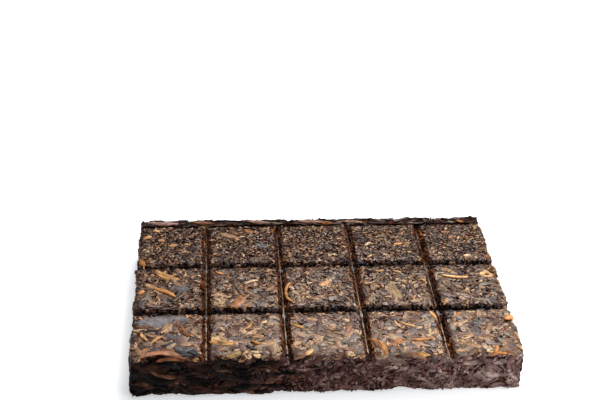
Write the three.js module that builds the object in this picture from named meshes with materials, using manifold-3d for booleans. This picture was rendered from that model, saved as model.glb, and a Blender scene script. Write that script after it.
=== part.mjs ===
// A brick of ripe pu erh tea, pressed like a bar of chocolate into five columns and three rows of squares.
// Behind the last row a narrow rim of leaf runs along the whole edge. Tea leaves stand proud of the squares,
// of the rim and of the four rough sides, and the underside is flat. It is one solid piece of leaf.
//
// Millimetres. X runs along the long side, Y from the front row to the rim, Z up.
// The origin is under the middle of the brick, on the surface that it lies on.
import * as THREE from "three";
import { mergeVertices } from "three/addons/utils/BufferGeometryUtils.js";
import Module from "manifold-3d";

const wasm = await Module();
wasm.setup();

// Driving dimensions
const COLUMNS = 5;
const ROWS = 3;
const SQUARE_X = 26.4; // a square's top, between the grooves
const SQUARE_Y = 27.4;
const GROOVE_X = 4.5; // width at the top of the grooves between columns
const GROOVE_Y = 5.1; // and of those between rows
const GROOVE_FLOOR = 1.2;
const GROOVE_DEPTH = 3.5;
const THICKNESS = 17.8;
const RIM_GAP = 3.2; // crevice between the last row and the rim
const RIM_Y = 5.3;
const RIM_DROP = 0.5; // how far the rim's crest lies under the squares
const RIM_CORNER_R = 1.2;
const RIM_FLARE = 0.9; // how far the rim's walls curve out
const SHOULDER = 1.2; // how far the outer squares' tops stop short of the sides
const CORNER_R = 2.4; // of a square, seen from above
const CORNER_STEPS = 3;
const EDGE_R = 1.2; // round of the bottom edge
const RAGGED = 0.5; // how far the sides wander in and out
const RAGGED_INSET = 0.25; // of their middle line, to leave room for the leaves on them
const RAGGED_STEP = 4.6; // distance between two points of the outline
const SQUARE_HEIGHT_STRAY = 0.12;
const SQUARE_TILT = 0.006; // radians

// The waves that the sides wander by: share, radians per millimetre and phase
const WAVES = [
  [0.5, 0.27, 1.3],
  [0.3, 0.61, 0.4],
  [0.2, 1.13, 2.1],
];

// How finely round things are drawn
const EDGE_STEPS = 2;
const WALL_STEPS = 2;
const RIM_WALL_STEPS = 1;
const LEAF_SIDES = 4;
const SAME_POINT = 1e-4;

// Worked out from them
const WIDTH = COLUMNS * SQUARE_X + (COLUMNS - 1) * GROOVE_X;
const ROWS_DEPTH = ROWS * SQUARE_Y + (ROWS - 1) * GROOVE_Y;
const DEPTH = ROWS_DEPTH + RIM_GAP + RIM_Y;
const LEFT = -WIDTH / 2;
const FRONT = -DEPTH / 2;
const GROOVE_Z = THICKNESS - GROOVE_DEPTH;
const SUNK = 2; // how far a square reaches into the slab under it
const OVERLAP = 4; // how far the slab reaches past the outline that trims it

// Leaves: length, width and thickness, each a range. Bend is a share of the length, turns are in radians,
// and sunk is how far a leaf's middle lies under what carries it. A stray is the most either way, and that
// along a row of leaves is a share of their step.
const TOP_LEAF = { length: [6, 13], width: [1.9, 3.9], thick: [0.9, 1.5], bend: 0.12, rings: 3 };
const TOP_LAY = { stray: 0.22, roll: 0.14, pitch: 0.05, sunk: 0.12, sunkStray: 0.1 };
const TOP_LEAVES_ALONG = 3; // leaves on a square, in X
const TOP_LEAVES_ACROSS = 3; // and in Y
const SIDE_LEAF = { length: [8, 17], width: [1.8, 2.6], thick: [2, 3.4], proud: [0.4, 0.75], rings: 4 };
const SIDE_LAY = { stray: 0.3, bend: [0.02, 0.14], droop: 0.7 };
const SIDE_LEAF_STEP = 14;
const SIDE_LEAF_TIERS = 2;
const SIDE_LEAF_END = 3; // distance kept from the corners
const SIDE_LEAF_LOWEST = 1.6; // and from the flat underside
const RIM_LEAF = { length: [9, 17], width: [1.8, 2.8], thick: [1.2, 1.9], bend: 0.04, rings: 4 };
const RIM_LAY = { step: 12, stray: 0.2, roll: 0.3, turn: 0.12, inward: 0.4, inwardStray: 0.5, sunk: 0.2 };
const LEAF_DROOP = [0.05, 0.3]; // how far a leaf's tips hang down

// Leaves that stand out, by place on the top, heading in degrees, and bend as a share of the length
const PROUD_LEAVES = [
  { name: "curled leaf over the front edge", x: -62.2, y: -48.3, heading: -2, length: 17.5, width: 3, bend: -0.13, droop: 1.1 },
  { name: "flat grey leaf", x: -63.6, y: -25.9, heading: 4, length: 20, width: 5.4, bend: 0.03 },
  { name: "blunt dark leaf", x: -53.2, y: -46.8, heading: -12, length: 8, width: 3.6, bend: 0.1 },
  { name: "long red leaf", x: -55.2, y: -32.6, heading: -62, length: 11, width: 2.6, bend: 0.08 },
  { name: "broad rust leaf", x: -33.6, y: -14.2, heading: 62, length: 10, width: 4.6, bend: 0.05 },
  { name: "golden tip", x: -62.3, y: 4.4, heading: -34, length: 11, width: 3, bend: 0.1 },
  { name: "second golden tip", x: -62.8, y: -7.4, heading: -36, length: 11.5, width: 2.4, bend: -0.06 },
  { name: "crescent bud", x: -12.6, y: -8.6, heading: 88, length: 15, width: 2.2, bend: -0.2 },
  { name: "pale stalk", x: 56.4, y: 0.9, heading: -10, length: 11.5, width: 1.5, bend: 0.08 },
  { name: "tawny leaf", x: 30.2, y: -8.4, heading: -78, length: 12, width: 4.8, bend: 0.06 },
  { name: "orange leaf", x: 19.8, y: -44.8, heading: -62, length: 12, width: 2.8, bend: -0.1 },
  { name: "orange arc", x: 36.3, y: -41.4, heading: 2, length: 10.5, width: 1.9, bend: 0.08 },
  { name: "bud over the right edge", x: 73.4, y: -28.9, heading: 30, length: 4.6, width: 2.4, bend: 0 },
  { name: "yellow leaf", x: -40.3, y: -41.3, heading: -11, length: 9, width: 2.8, bend: 0.06 },
];
const PROUD_THICK = 1.7;
const PROUD_DROOP = 0.4;
const PROUD_RINGS = 6;

// A ring of rolled leaf on the right column, given by its middle, radius and section
const RING_LEAF = { x: 70, y: 2.2, radius: 2.6, section: 0.85, sides: 5, steps: 10 };

// Wear: a crumb lost from the bottom edge of the front
const LOST_CRUMB = { x: 28.5, halfX: 3.2, halfY: 2, halfZ: 1.5, sides: 7, rings: 5 };

// The same numbers each time, from 0 to 1
let seed = 20861;
function draw() {
  seed = (seed * 16807) % 2147483647;
  return seed / 2147483647;
}
const between = ([low, high]) => low + (high - low) * draw();
const spread = (amount) => (draw() * 2 - 1) * amount;

function solidOf(geometry) {
  const bare = geometry.clone();
  bare.deleteAttribute("normal");
  bare.deleteAttribute("uv");
  const merged = mergeVertices(bare, SAME_POINT);
  return new wasm.Manifold(
    new wasm.Mesh({
      numProp: 3,
      vertProperties: merged.attributes.position.array,
      triVerts: new Uint32Array(merged.index.array),
    }),
  );
}

function geometryOf(solid) {
  const mesh = solid.getMesh();
  const geometry = new THREE.BufferGeometry();
  geometry.setAttribute("position", new THREE.BufferAttribute(mesh.vertProperties, mesh.numProp));
  geometry.setIndex(new THREE.BufferAttribute(mesh.triVerts, 1));
  geometry.computeVertexNormals();
  return geometry;
}

// How far the side stands out at a distance s round the outline: slow swells with quicker ones on them.
function raggedness(s) {
  return RAGGED * WAVES.reduce((sum, [share, rate, phase]) => sum + share * Math.sin(rate * s + phase), 0);
}

// The brick without its grooves: an extruded outline that wanders, with its bottom edge rounded off.
// It ends above the squares, so that its upper bevel is cut away with the rest.
function envelope() {
  const outline = [];
  const corners = [
    [LEFT, FRONT],
    [-LEFT, FRONT],
    [-LEFT, -FRONT],
    [LEFT, -FRONT],
  ];
  let walked = 0;
  corners.forEach(([x0, y0], i) => {
    const [x1, y1] = corners[(i + 1) % corners.length];
    const length = Math.hypot(x1 - x0, y1 - y0);
    const along = [(x1 - x0) / length, (y1 - y0) / length];
    const out = [along[1], -along[0]];
    const straight = length - 2 * CORNER_R;
    const steps = Math.round(straight / RAGGED_STEP);
    for (let k = 0; k <= steps; k++) {
      const s = CORNER_R + (straight * k) / steps;
      const r = raggedness(walked + s) - RAGGED_INSET - EDGE_R;
      outline.push(new THREE.Vector2(x0 + along[0] * s + out[0] * r, y0 + along[1] * s + out[1] * r));
    }
    walked += length;
  });
  const made = new THREE.ExtrudeGeometry(new THREE.Shape(outline), {
    depth: THICKNESS,
    bevelThickness: EDGE_R,
    bevelSize: EDGE_R,
    bevelSegments: EDGE_STEPS,
  });
  return made.translate(0, 0, EDGE_R);
}

// What lies under the grooves' floors
function slab() {
  const [width, depth] = [WIDTH + 2 * OVERLAP, DEPTH + 2 * OVERLAP];
  return new THREE.BoxGeometry(width, depth, GROOVE_Z).translate(0, 0, GROOVE_Z / 2);
}

// A rectangle with round corners, in the middle of its own frame.
function roundedRectangle(width, height, radius) {
  const points = [];
  for (let corner = 0; corner < 4; corner++)
    for (let k = 0; k <= CORNER_STEPS; k++) {
      const angle = ((corner + k / CORNER_STEPS) * Math.PI) / 2;
      const middleX = (width / 2 - radius) * (corner === 0 || corner === 3 ? 1 : -1);
      const middleY = (height / 2 - radius) * (corner < 2 ? 1 : -1);
      points.push(new THREE.Vector2(middleX + radius * Math.cos(angle), middleY + radius * Math.sin(angle)));
    }
  return new THREE.Shape(points);
}

// A raised block whose walls curve out to the groove's floor. The bevel at its foot is lost in the slab.
function block(width, height, corner, flare, wallHeight, segments) {
  const made = new THREE.ExtrudeGeometry(roundedRectangle(width, height, corner), {
    depth: SUNK,
    bevelThickness: wallHeight,
    bevelSize: flare,
    bevelSegments: segments,
  });
  return made.translate(0, 0, -SUNK);
}

function squareCentre(column, row) {
  return [
    LEFT + SQUARE_X / 2 + column * (SQUARE_X + GROOVE_X),
    FRONT + SQUARE_Y / 2 + row * (SQUARE_Y + GROOVE_Y),
  ];
}

// Each square sits a little askew and at its own height, as the press leaves it. On the outside of the
// brick a square's top stops short of the side, and its wall curves out to meet it as a round shoulder.
function squares() {
  const flare = (GROOVE_X - GROOVE_FLOOR) / 2;
  const made = [];
  for (let row = 0; row < ROWS; row++)
    for (let column = 0; column < COLUMNS; column++) {
      const [x, y] = squareCentre(column, row);
      const left = column === 0 ? SHOULDER : 0;
      const right = column === COLUMNS - 1 ? SHOULDER : 0;
      const front = row === 0 ? SHOULDER : 0;
      const height = GROOVE_DEPTH + spread(SQUARE_HEIGHT_STRAY);
      const one = block(SQUARE_X - left - right, SQUARE_Y - front, CORNER_R, flare, height, WALL_STEPS);
      one.rotateX(spread(SQUARE_TILT)).rotateY(spread(SQUARE_TILT));
      made.push(one.translate(x + (left - right) / 2, y + front / 2, GROOVE_Z));
    }
  return made;
}

function backRim() {
  const height = GROOVE_DEPTH - RIM_DROP;
  const [width, depth] = [WIDTH - 2 * SHOULDER, RIM_Y - RIM_FLARE - SHOULDER];
  const made = block(width, depth, RIM_CORNER_R, RIM_FLARE, height, RIM_WALL_STEPS);
  return made.translate(0, -FRONT - (RIM_Y - RIM_FLARE + SHOULDER) / 2, GROOVE_Z);
}

// A leaf lies along X, pointed at both ends, with a ridge along its top. It bends sideways and its tips droop.
function leaf({ length, width, thick, rings, bend, droop }) {
  const made = new THREE.SphereGeometry(1, LEAF_SIDES, rings).rotateZ(Math.PI / 2);
  const place = made.attributes.position;
  for (let i = 0; i < place.count; i++) {
    const [x, y, z] = [place.getX(i), place.getY(i), place.getZ(i)];
    const away = x * x;
    place.setXYZ(i, (x * length) / 2, (y * width) / 2 + bend * length * away, (z * thick) / 2 - droop * away);
  }
  return made;
}

function drawnLeaf(kind, longest = Infinity) {
  return leaf({
    length: Math.min(between(kind.length), longest),
    width: between(kind.width),
    thick: between(kind.thick),
    rings: kind.rings,
    bend: spread(kind.bend),
    droop: between(LEAF_DROOP),
  });
}

// The longest leaf that can lie at a place on the top and not reach over the brick's sides
function roomFor(x, y, heading) {
  const reachX = (WIDTH / 2 - Math.abs(x)) / Math.abs(Math.cos(heading));
  const reachY = (DEPTH / 2 - Math.abs(y)) / Math.abs(Math.sin(heading));
  return 2 * Math.min(reachX, reachY);
}

// Leaves on the squares: a loose grid of places on each, every leaf turned its own way and nearly flat.
function leavesOnSquares() {
  const made = [];
  const [stepX, stepY] = [SQUARE_X / TOP_LEAVES_ALONG, SQUARE_Y / TOP_LEAVES_ACROSS];
  for (let row = 0; row < ROWS; row++)
    for (let column = 0; column < COLUMNS; column++) {
      const [cx, cy] = squareCentre(column, row);
      for (let i = 0; i < TOP_LEAVES_ALONG; i++)
        for (let j = 0; j < TOP_LEAVES_ACROSS; j++) {
          const x = cx - SQUARE_X / 2 + (i + 0.5) * stepX + spread(TOP_LAY.stray * stepX);
          const y = cy - SQUARE_Y / 2 + (j + 0.5) * stepY + spread(TOP_LAY.stray * stepY);
          const heading = spread(Math.PI / 2);
          const one = drawnLeaf(TOP_LEAF, roomFor(x, y, heading));
          one.rotateX(spread(TOP_LAY.roll)).rotateY(spread(TOP_LAY.pitch)).rotateZ(heading);
          made.push(one.translate(x, y, THICKNESS - TOP_LAY.sunk + spread(TOP_LAY.sunkStray)));
        }
    }
  return made;
}

// Leaves on a side lie flat in the pressed layers, so only their long edges stand out.
function leavesOnSides() {
  const sides = [
    { start: [LEFT, FRONT], along: [1, 0], length: WIDTH },
    { start: [-LEFT, FRONT], along: [0, 1], length: DEPTH },
    { start: [-LEFT, -FRONT], along: [-1, 0], length: WIDTH },
    { start: [LEFT, -FRONT], along: [0, -1], length: DEPTH },
  ];
  const up = new THREE.Vector3(0, 0, 1);
  const made = [];
  let walked = 0;
  for (const { start, along, length } of sides) {
    const tangent = new THREE.Vector3(along[0], along[1], 0);
    const inward = new THREE.Vector3(-along[1], along[0], 0);
    const turn = new THREE.Matrix4().makeBasis(tangent, inward, up);
    const count = Math.floor(length / SIDE_LEAF_STEP);
    for (let tier = 0; tier < SIDE_LEAF_TIERS; tier++)
      for (let k = 0; k < count; k++) {
        const place = k + 0.5 + spread(SIDE_LAY.stray);
        const s = (place * (length - 2 * SIDE_LEAF_END)) / count + SIDE_LEAF_END;
        const layer = tier + 0.5 + spread(SIDE_LAY.stray);
        const z = SIDE_LEAF_LOWEST + (layer * (GROOVE_Z - SIDE_LEAF_LOWEST)) / SIDE_LEAF_TIERS;
        const width = between(SIDE_LEAF.width);
        const one = leaf({
          length: between(SIDE_LEAF.length),
          width,
          thick: between(SIDE_LEAF.thick),
          rings: SIDE_LEAF.rings,
          bend: between(SIDE_LAY.bend),
          droop: spread(SIDE_LAY.droop),
        });
        const proud = between(SIDE_LEAF.proud) + raggedness(walked + s) - RAGGED_INSET;
        one.translate(0, width / 2 - proud, 0).applyMatrix4(turn);
        made.push(one.translate(start[0] + along[0] * s, start[1] + along[1] * s, z));
      }
    walked += length;
  }
  return made;
}

// The rim's leaves all run with it, because the wall of the mould laid them so.
function leavesOnRim() {
  const made = [];
  const count = Math.floor(WIDTH / RIM_LAY.step);
  for (let k = 0; k < count; k++) {
    const x = LEFT + ((k + 0.5 + spread(RIM_LAY.stray)) * WIDTH) / count;
    const one = drawnLeaf(RIM_LEAF, roomFor(x, 0, 0)).rotateX(spread(RIM_LAY.roll)).rotateZ(spread(RIM_LAY.turn));
    const y = -FRONT - RIM_Y / 2 - RIM_LAY.inward + spread(RIM_LAY.inwardStray);
    made.push(one.translate(x, y, THICKNESS - RIM_DROP - RIM_LAY.sunk));
  }
  return made;
}

function proudLeaves() {
  return PROUD_LEAVES.map(({ x, y, heading, length, width, bend, droop = PROUD_DROOP }) => {
    const one = leaf({ length, width, thick: PROUD_THICK, rings: PROUD_RINGS, bend, droop });
    return one.rotateZ(THREE.MathUtils.degToRad(heading)).translate(x, y, THICKNESS);
  });
}

function ringLeaf() {
  const { x, y, radius, section, sides, steps } = RING_LEAF;
  return new THREE.TorusGeometry(radius, section, sides, steps).translate(x, y, THICKNESS);
}

function crumbCut() {
  const { x, halfX, halfY, halfZ, sides, rings } = LOST_CRUMB;
  return new THREE.SphereGeometry(1, sides, rings).scale(halfX, halfY, halfZ).translate(x, FRONT, 0);
}

function fuse(geometries) {
  return geometries.map(solidOf).reduce((all, one) => all.add(one));
}

// Fusing can shut in a hollow between leaves. The largest shell is the brick, with any hollow filled.
function largestShell(solid) {
  return solid.decompose().reduce((best, one) => (one.volume() > best.volume() ? one : best));
}

const pressed = fuse([slab(), ...squares(), backRim()])
  .intersect(solidOf(envelope()))
  .subtract(solidOf(crumbCut()));
const leaves = fuse([
  ...leavesOnSquares(),
  ...leavesOnSides(),
  ...leavesOnRim(),
  ...proudLeaves(),
  ringLeaf(),
]);
const brick = largestShell(pressed.add(leaves));

const pressedTea = new THREE.MeshStandardMaterial({ color: 0x3a2b22, roughness: 0.62, metalness: 0 });
const teaBrick = new THREE.Mesh(geometryOf(brick), pressedTea);
teaBrick.name = "tea_brick";

const group = new THREE.Group();
group.add(teaBrick);

export default group;
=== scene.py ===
# %% [markdown]
# # A brick of ripe pu erh tea
#
# Ripe pu erh is leaf that was piled up wet, left to darken for weeks, steamed and then pressed. This brick
# was pressed in a mould that leaves it in squares, so that a square can be broken off for one pot. What the
# eye sees is thousands of leaf pieces pressed flush: slate grey where a smooth leaf catches the light, nearly
# black between the leaves, and golden where a leaf bud shows.
#
# The lesson builds it the way the press does: first the form of the brick, then leaves of each kind laid on
# that form, and last the leaf's own finish. All sizes are in metres, worked out from millimetres.

import math

import bmesh
import bpy
import numpy as np
from mathutils import Matrix, Vector
from mathutils.bvhtree import BVHTree


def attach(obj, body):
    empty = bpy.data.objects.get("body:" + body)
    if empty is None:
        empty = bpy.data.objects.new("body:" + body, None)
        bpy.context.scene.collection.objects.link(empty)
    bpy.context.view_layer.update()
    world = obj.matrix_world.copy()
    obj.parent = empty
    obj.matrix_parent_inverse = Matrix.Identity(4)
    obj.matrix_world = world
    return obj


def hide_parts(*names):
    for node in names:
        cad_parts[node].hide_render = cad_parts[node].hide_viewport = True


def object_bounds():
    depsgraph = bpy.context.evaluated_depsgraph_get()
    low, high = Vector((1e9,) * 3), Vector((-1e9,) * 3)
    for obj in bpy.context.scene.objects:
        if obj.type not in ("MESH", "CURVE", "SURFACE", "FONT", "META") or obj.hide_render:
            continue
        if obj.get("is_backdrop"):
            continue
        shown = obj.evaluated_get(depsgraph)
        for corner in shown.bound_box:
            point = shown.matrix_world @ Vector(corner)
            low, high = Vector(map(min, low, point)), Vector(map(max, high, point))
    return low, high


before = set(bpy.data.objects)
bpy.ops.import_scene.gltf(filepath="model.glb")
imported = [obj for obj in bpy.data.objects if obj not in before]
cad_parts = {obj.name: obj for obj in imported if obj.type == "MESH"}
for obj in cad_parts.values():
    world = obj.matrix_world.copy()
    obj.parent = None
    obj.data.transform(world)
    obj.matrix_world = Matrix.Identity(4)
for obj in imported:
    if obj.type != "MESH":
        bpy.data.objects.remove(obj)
cad_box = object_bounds()
print("the frame holds", sorted(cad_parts), "in", [tuple(round(v, 4) for v in c) for c in cad_box])

# %% [markdown]
# ## The brick's sizes
#
# The mould gives every size of the brick, so they are named once, in the order in which a ruler would take
# them: the squares, the grooves between them, the rim behind the last row, and the thickness.

# %% Sizes
MM = 0.001
COLUMNS = 5
ROWS = 3
SQUARE_X = 26.4 * MM
SQUARE_Y = 27.4 * MM
GROOVE_X = 4.5 * MM
GROOVE_Y = 5.1 * MM
GROOVE_DEPTH = 3.5 * MM
THICKNESS = 17.8 * MM
RIM_GAP = 3.2 * MM
RIM_Y = 5.3 * MM
RIM_DROP = 0.5 * MM
SHOULDER = 1.2 * MM

# A groove's wall starts round at the top and then falls steeply: distance from its edge, and depth there.
KNEE = (0.9 * MM, 0.95 * MM)
RIM_KNEE = (0.6 * MM, 0.5 * MM)
WALL_FOOT = 1.65 * MM
RIM_FOOT = 0.9 * MM

WIDTH = COLUMNS * SQUARE_X + (COLUMNS - 1) * GROOVE_X
ROWS_DEPTH = ROWS * SQUARE_Y + (ROWS - 1) * GROOVE_Y
DEPTH = ROWS_DEPTH + RIM_GAP + RIM_Y
LEFT = -WIDTH / 2
FRONT = -DEPTH / 2
GROOVE_Z = THICKNESS - GROOVE_DEPTH
LAST_ROW_END = FRONT + ROWS_DEPTH
RIM_START = LAST_ROW_END + RIM_GAP - RIM_FOOT
print(f"brick {WIDTH / MM:.1f} by {DEPTH / MM:.1f} by {THICKNESS / MM:.1f} mm")

# %% [markdown]
# ## Camera
#
# The photograph was taken from in front and above with a long lens. The camera's place, tilt and turn come
# from the corners of the squares. A small roll is left in, because the photograph's near edge isn't level.

# %% Camera
PHOTO_WIDTH = 600
FOCAL_PIXELS = 1247.4
SENSOR = 36.0
CAMERA_AT = Vector((-41.7, -424.35, 304.87)) * MM
TILT_DOWN = math.radians(30.28)
TURN_RIGHT = math.radians(4.43)
ROLL = math.radians(1.64)

ahead = Vector(
    (
        math.sin(TURN_RIGHT) * math.cos(TILT_DOWN),
        math.cos(TURN_RIGHT) * math.cos(TILT_DOWN),
        -math.sin(TILT_DOWN),
    )
)
level = Vector((math.cos(TURN_RIGHT), -math.sin(TURN_RIGHT), 0))
upright = level.cross(ahead)
right = math.cos(ROLL) * level + math.sin(ROLL) * upright
above = math.cos(ROLL) * upright - math.sin(ROLL) * level

bpy.ops.object.camera_add(location=CAMERA_AT)
camera = bpy.context.object
camera.matrix_world = Matrix.Translation(CAMERA_AT) @ Matrix((right, above, -ahead)).transposed().to_4x4()
camera.data.sensor_width = SENSOR
camera.data.lens = FOCAL_PIXELS * SENSOR / PHOTO_WIDTH
camera.data.clip_start = 10 * MM
bpy.context.scene.camera = camera
print(f"lens {camera.data.lens:.1f} mm")

# %% [markdown]
# ## Floor and light
#
# The brick lies on something white, under soft light from above and behind. That light lies like a grey veil
# on every flat leaf and leaves the front side in its own shade. One large panel behind gives the veil, a
# smaller one nearer to the brick is the main light, one above fills the grooves, and a small low one lifts
# the right end of the front side. The white paper under the brick glows, as paper does in a light tent, so
# the brick's own shadow on it stays faint.

# %% Floor and light
FLOOR_HALF = 1.6
FLOOR_GLOW = 0.42
WORLD_LIGHT = 0.14

bpy.ops.mesh.primitive_plane_add(size=2 * FLOOR_HALF, location=(0, 0, 0))
floor = bpy.context.object
floor.name = "floor"
paper = bpy.data.materials.new("white paper")
paper.use_nodes = True
sheet = paper.node_tree.nodes["Principled BSDF"]
sheet.inputs["Base Color"].default_value = (0.85, 0.86, 0.88, 1)
sheet.inputs["Roughness"].default_value = 0.8
sheet.inputs["Emission Color"].default_value = (0.95, 0.98, 1, 1)
sheet.inputs["Emission Strength"].default_value = FLOOR_GLOW
floor.data.materials.append(paper)
floor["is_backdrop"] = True

# name, place, target, width, height, watts
PANELS = [
    ("veil_light", (0.05, 0.38, 0.45), (0, -0.03, 0), 0.8, 0.35, 1.45),
    ("key_light", (0.1, 0.25, 0.4), (0.01, -0.03, 0), 0.24, 0.22, 2.4),
    ("top_light", (0.05, -0.02, 0.8), (0, 0, 0), 0.4, 0.4, 1.6),
    ("fill_light", (0.21, -0.19, 0.05), (0.06, -0.05, 0.008), 0.2, 0.08, 0.9),
]
for name, place, target, width, height, watts in PANELS:
    bpy.ops.object.light_add(type="AREA", location=place)
    panel = bpy.context.object
    panel.name = name
    panel.data.shape = "RECTANGLE"
    panel.data.size = width
    panel.data.size_y = height
    panel.data.energy = watts
    panel.visible_camera = False
    panel.rotation_euler = (Vector(target) - Vector(place)).to_track_quat("-Z", "Y").to_euler()

world = bpy.data.worlds.new("pale_room")
world.use_nodes = True
world.node_tree.nodes["Background"].inputs["Color"].default_value = (1, 1, 1, 1)
world.node_tree.nodes["Background"].inputs["Strength"].default_value = WORLD_LIGHT
bpy.context.scene.world = world
bpy.context.scene.view_settings.view_transform = "Standard"
print(len(PANELS), "panels of light")

# %% [markdown]
# ## The form of the brick
#
# The core of the brick is one cube. Cuts are put across it where each groove begins, turns and ends, and the
# lines between the cuts are then pressed down, just as the ridges of the mould press them. A voxel remesh
# gives the whole form an even skin of small faces, and a light smoothing rounds the edges that the mould
# leaves round. An extruded outline would be lighter, but its faces would be too uneven to carry fine relief.

# %% Where the grooves run
ROUNDING = 0.01 * MM  # a cut at the rim's start counts as in front of it

column_grooves = [LEFT + (i + 1) * SQUARE_X + (i + 0.5) * GROOVE_X for i in range(COLUMNS - 1)]
row_grooves = [FRONT + (i + 1) * SQUARE_Y + (i + 0.5) * GROOVE_Y for i in range(ROWS - 1)]


def groove_cuts(middle, width):
    """The cuts of one groove across its width: edge, knee and foot, and the same again on the far side."""
    return [middle + side * (width / 2 - d) for side in (-1, 1) for d in (0, KNEE[0], WALL_FOOT)]


def wall_depth(inside, foot=WALL_FOOT, knee=KNEE):
    """How deep a pressed wall is at a distance inside its edge."""
    return float(np.interp(inside, [0, knee[0], foot], [0, knee[1], GROOVE_DEPTH]))


def pressed_depth(x, y):
    """How far the mould presses the top down at a place."""
    depths = [wall_depth(GROOVE_Y / 2 - abs(y - middle)) for middle in row_grooves]
    if y < RIM_START + ROUNDING:
        depths += [wall_depth(GROOVE_X / 2 - abs(x - middle)) for middle in column_grooves]
    into_gap = y - LAST_ROW_END
    if 0 < into_gap < RIM_GAP:
        depths.append(min(wall_depth(into_gap), wall_depth(RIM_GAP - into_gap, RIM_FOOT, RIM_KNEE)))
    outside = min(x - LEFT, -LEFT - x, y - FRONT, -FRONT - y)
    depths.append(KNEE[1] * max(0.0, 1 - outside / SHOULDER))
    return max(depths)


print(len(column_grooves), "grooves between columns and", len(row_grooves), "between rows")


# %% Cut the cube and press the grooves
def deselect():
    bpy.ops.object.select_all(action="DESELECT")


def work_on(piece):
    deselect()
    piece.select_set(True)
    bpy.context.view_layer.objects.active = piece


def place_in_mesh(piece):
    """Moves a piece's place, turn and size into its mesh, and leaves its object at the origin."""
    work_on(piece)
    bpy.ops.object.transform_apply(location=True, rotation=True, scale=True)


deselect()
bpy.ops.mesh.primitive_cube_add(size=1, location=(0, 0, THICKNESS / 2), scale=(WIDTH, DEPTH, THICKNESS))
core = bpy.context.object
core.name = "pressed_core"
place_in_mesh(core)

cuts_x = [x for middle in column_grooves for x in groove_cuts(middle, GROOVE_X)]
cuts_y = [y for middle in row_grooves for y in groove_cuts(middle, GROOVE_Y)]
cuts_y += [LAST_ROW_END + d for d in (0, KNEE[0], WALL_FOOT)]
cuts_y += [LAST_ROW_END + RIM_GAP - d for d in (0, RIM_KNEE[0], RIM_FOOT)]
cuts_x += [LEFT + SHOULDER, -LEFT - SHOULDER]
cuts_y += [FRONT + SHOULDER, -FRONT - SHOULDER]

bpy.ops.object.mode_set(mode="EDIT")
for axis, places in ((0, cuts_x), (1, cuts_y)):
    for at in sorted(set(places)):
        point = [0, 0, 0]
        normal = [0, 0, 0]
        point[axis] = at
        normal[axis] = 1
        bpy.ops.mesh.select_all(action="SELECT")
        bpy.ops.mesh.bisect(plane_co=point, plane_no=normal)

form = bmesh.from_edit_mesh(core.data)
by_depth = {}
for v in form.verts:
    if v.co.z < THICKNESS / 2:
        continue
    depth = round(pressed_depth(v.co.x, v.co.y), 6)
    if v.co.y > RIM_START:
        depth = max(depth, RIM_DROP)
    if depth > 0:
        by_depth.setdefault(depth, []).append(v)
for depth, points in sorted(by_depth.items()):
    bpy.ops.mesh.select_all(action="DESELECT")
    for v in points:
        v.select = True
    form.select_flush(True)
    bpy.ops.transform.translate(value=(0, 0, -depth))
bpy.ops.object.mode_set(mode="OBJECT")
print(f"{len(cuts_x) + len(cuts_y)} cuts, {len(by_depth)} depths, {len(core.data.polygons)} faces")

# %% Give the form an even skin
SKIN = 0.7 * MM


def apply_modifier(piece, kind, **settings):
    work_on(piece)
    modifier = piece.modifiers.new(kind.title(), kind)
    for key, value in settings.items():
        setattr(modifier, key, value)
    bpy.ops.object.modifier_apply(modifier=modifier.name)


apply_modifier(core, "REMESH", mode="VOXEL", voxel_size=SKIN)
apply_modifier(core, "SMOOTH", factor=0.4, iterations=1)
print(f"the skin has {len(core.data.polygons)} faces")

# %% [markdown]
# The mould's sides are straight, but leaf springs back when the brick comes out, so the sides wander in and
# out by half a millimetre. Three slow waves along the outline give that, the same on any run.

# %% Let the sides wander
RAGGED = 0.5 * MM
RAGGED_INSET = 0.25 * MM
WANDER_REACH = 4 * MM
BOTTOM_ROUND = 1.2 * MM
WAVES = ((0.5, 0.27, 1.3), (0.3, 0.61, 0.4), (0.2, 1.13, 2.1))  # share, turn for each mm, start


def raggedness(along):
    """How far the side stands out at a distance along the outline, from the front left corner."""
    return RAGGED * sum(share * np.sin(turn * (along / MM) + start) for share, turn, start in WAVES)


def points_of(mesh):
    flat = np.empty(len(mesh.vertices) * 3)
    mesh.vertices.foreach_get("co", flat)
    return flat.reshape(-1, 3)


def set_points(mesh, points):
    mesh.vertices.foreach_set("co", np.ascontiguousarray(points).ravel())
    mesh.update()


def wander(points):
    moved = points.copy()
    x, y = points[:, 0], points[:, 1]
    tuck = BOTTOM_ROUND * np.clip(1 - points[:, 2] / BOTTOM_ROUND, 0, 1) ** 2
    sides = [
        (1, -1, y - FRONT, x - LEFT),
        (0, 1, -LEFT - x, WIDTH + y - FRONT),
        (1, 1, -FRONT - y, WIDTH + DEPTH - LEFT - x),
        (0, -1, x - LEFT, 2 * WIDTH + DEPTH - FRONT - y),
    ]
    for axis, sign, inside, along in sides:
        near = np.clip(1 - inside / WANDER_REACH, 0, 1)
        moved[:, axis] += sign * near * (raggedness(along) - RAGGED_INSET - tuck)
    return moved


set_points(core.data, wander(points_of(core.data)))
print("sides wander by", RAGGED / MM, "mm")

# %% [markdown]
# A plain copy of this form is kept in memory. Every leaf is laid on it, because a leaf follows the form and
# not the crumbs under it.

# %% Keep the form for laying leaves
form_mesh = core.data
face_count = len(form_mesh.polygons)
face_centre = np.empty(face_count * 3)
face_normal = np.empty(face_count * 3)
face_area = np.empty(face_count)
form_mesh.polygons.foreach_get("center", face_centre)
form_mesh.polygons.foreach_get("normal", face_normal)
form_mesh.polygons.foreach_get("area", face_area)
face_centre = face_centre.reshape(-1, 3)
face_normal = face_normal.reshape(-1, 3)
surface = BVHTree.FromPolygons(
    [tuple(p) for p in points_of(form_mesh)], [tuple(f.vertices) for f in form_mesh.polygons]
)
print(f"form of {face_count} faces kept, {face_area.sum() / MM**2:.0f} square mm")

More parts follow.
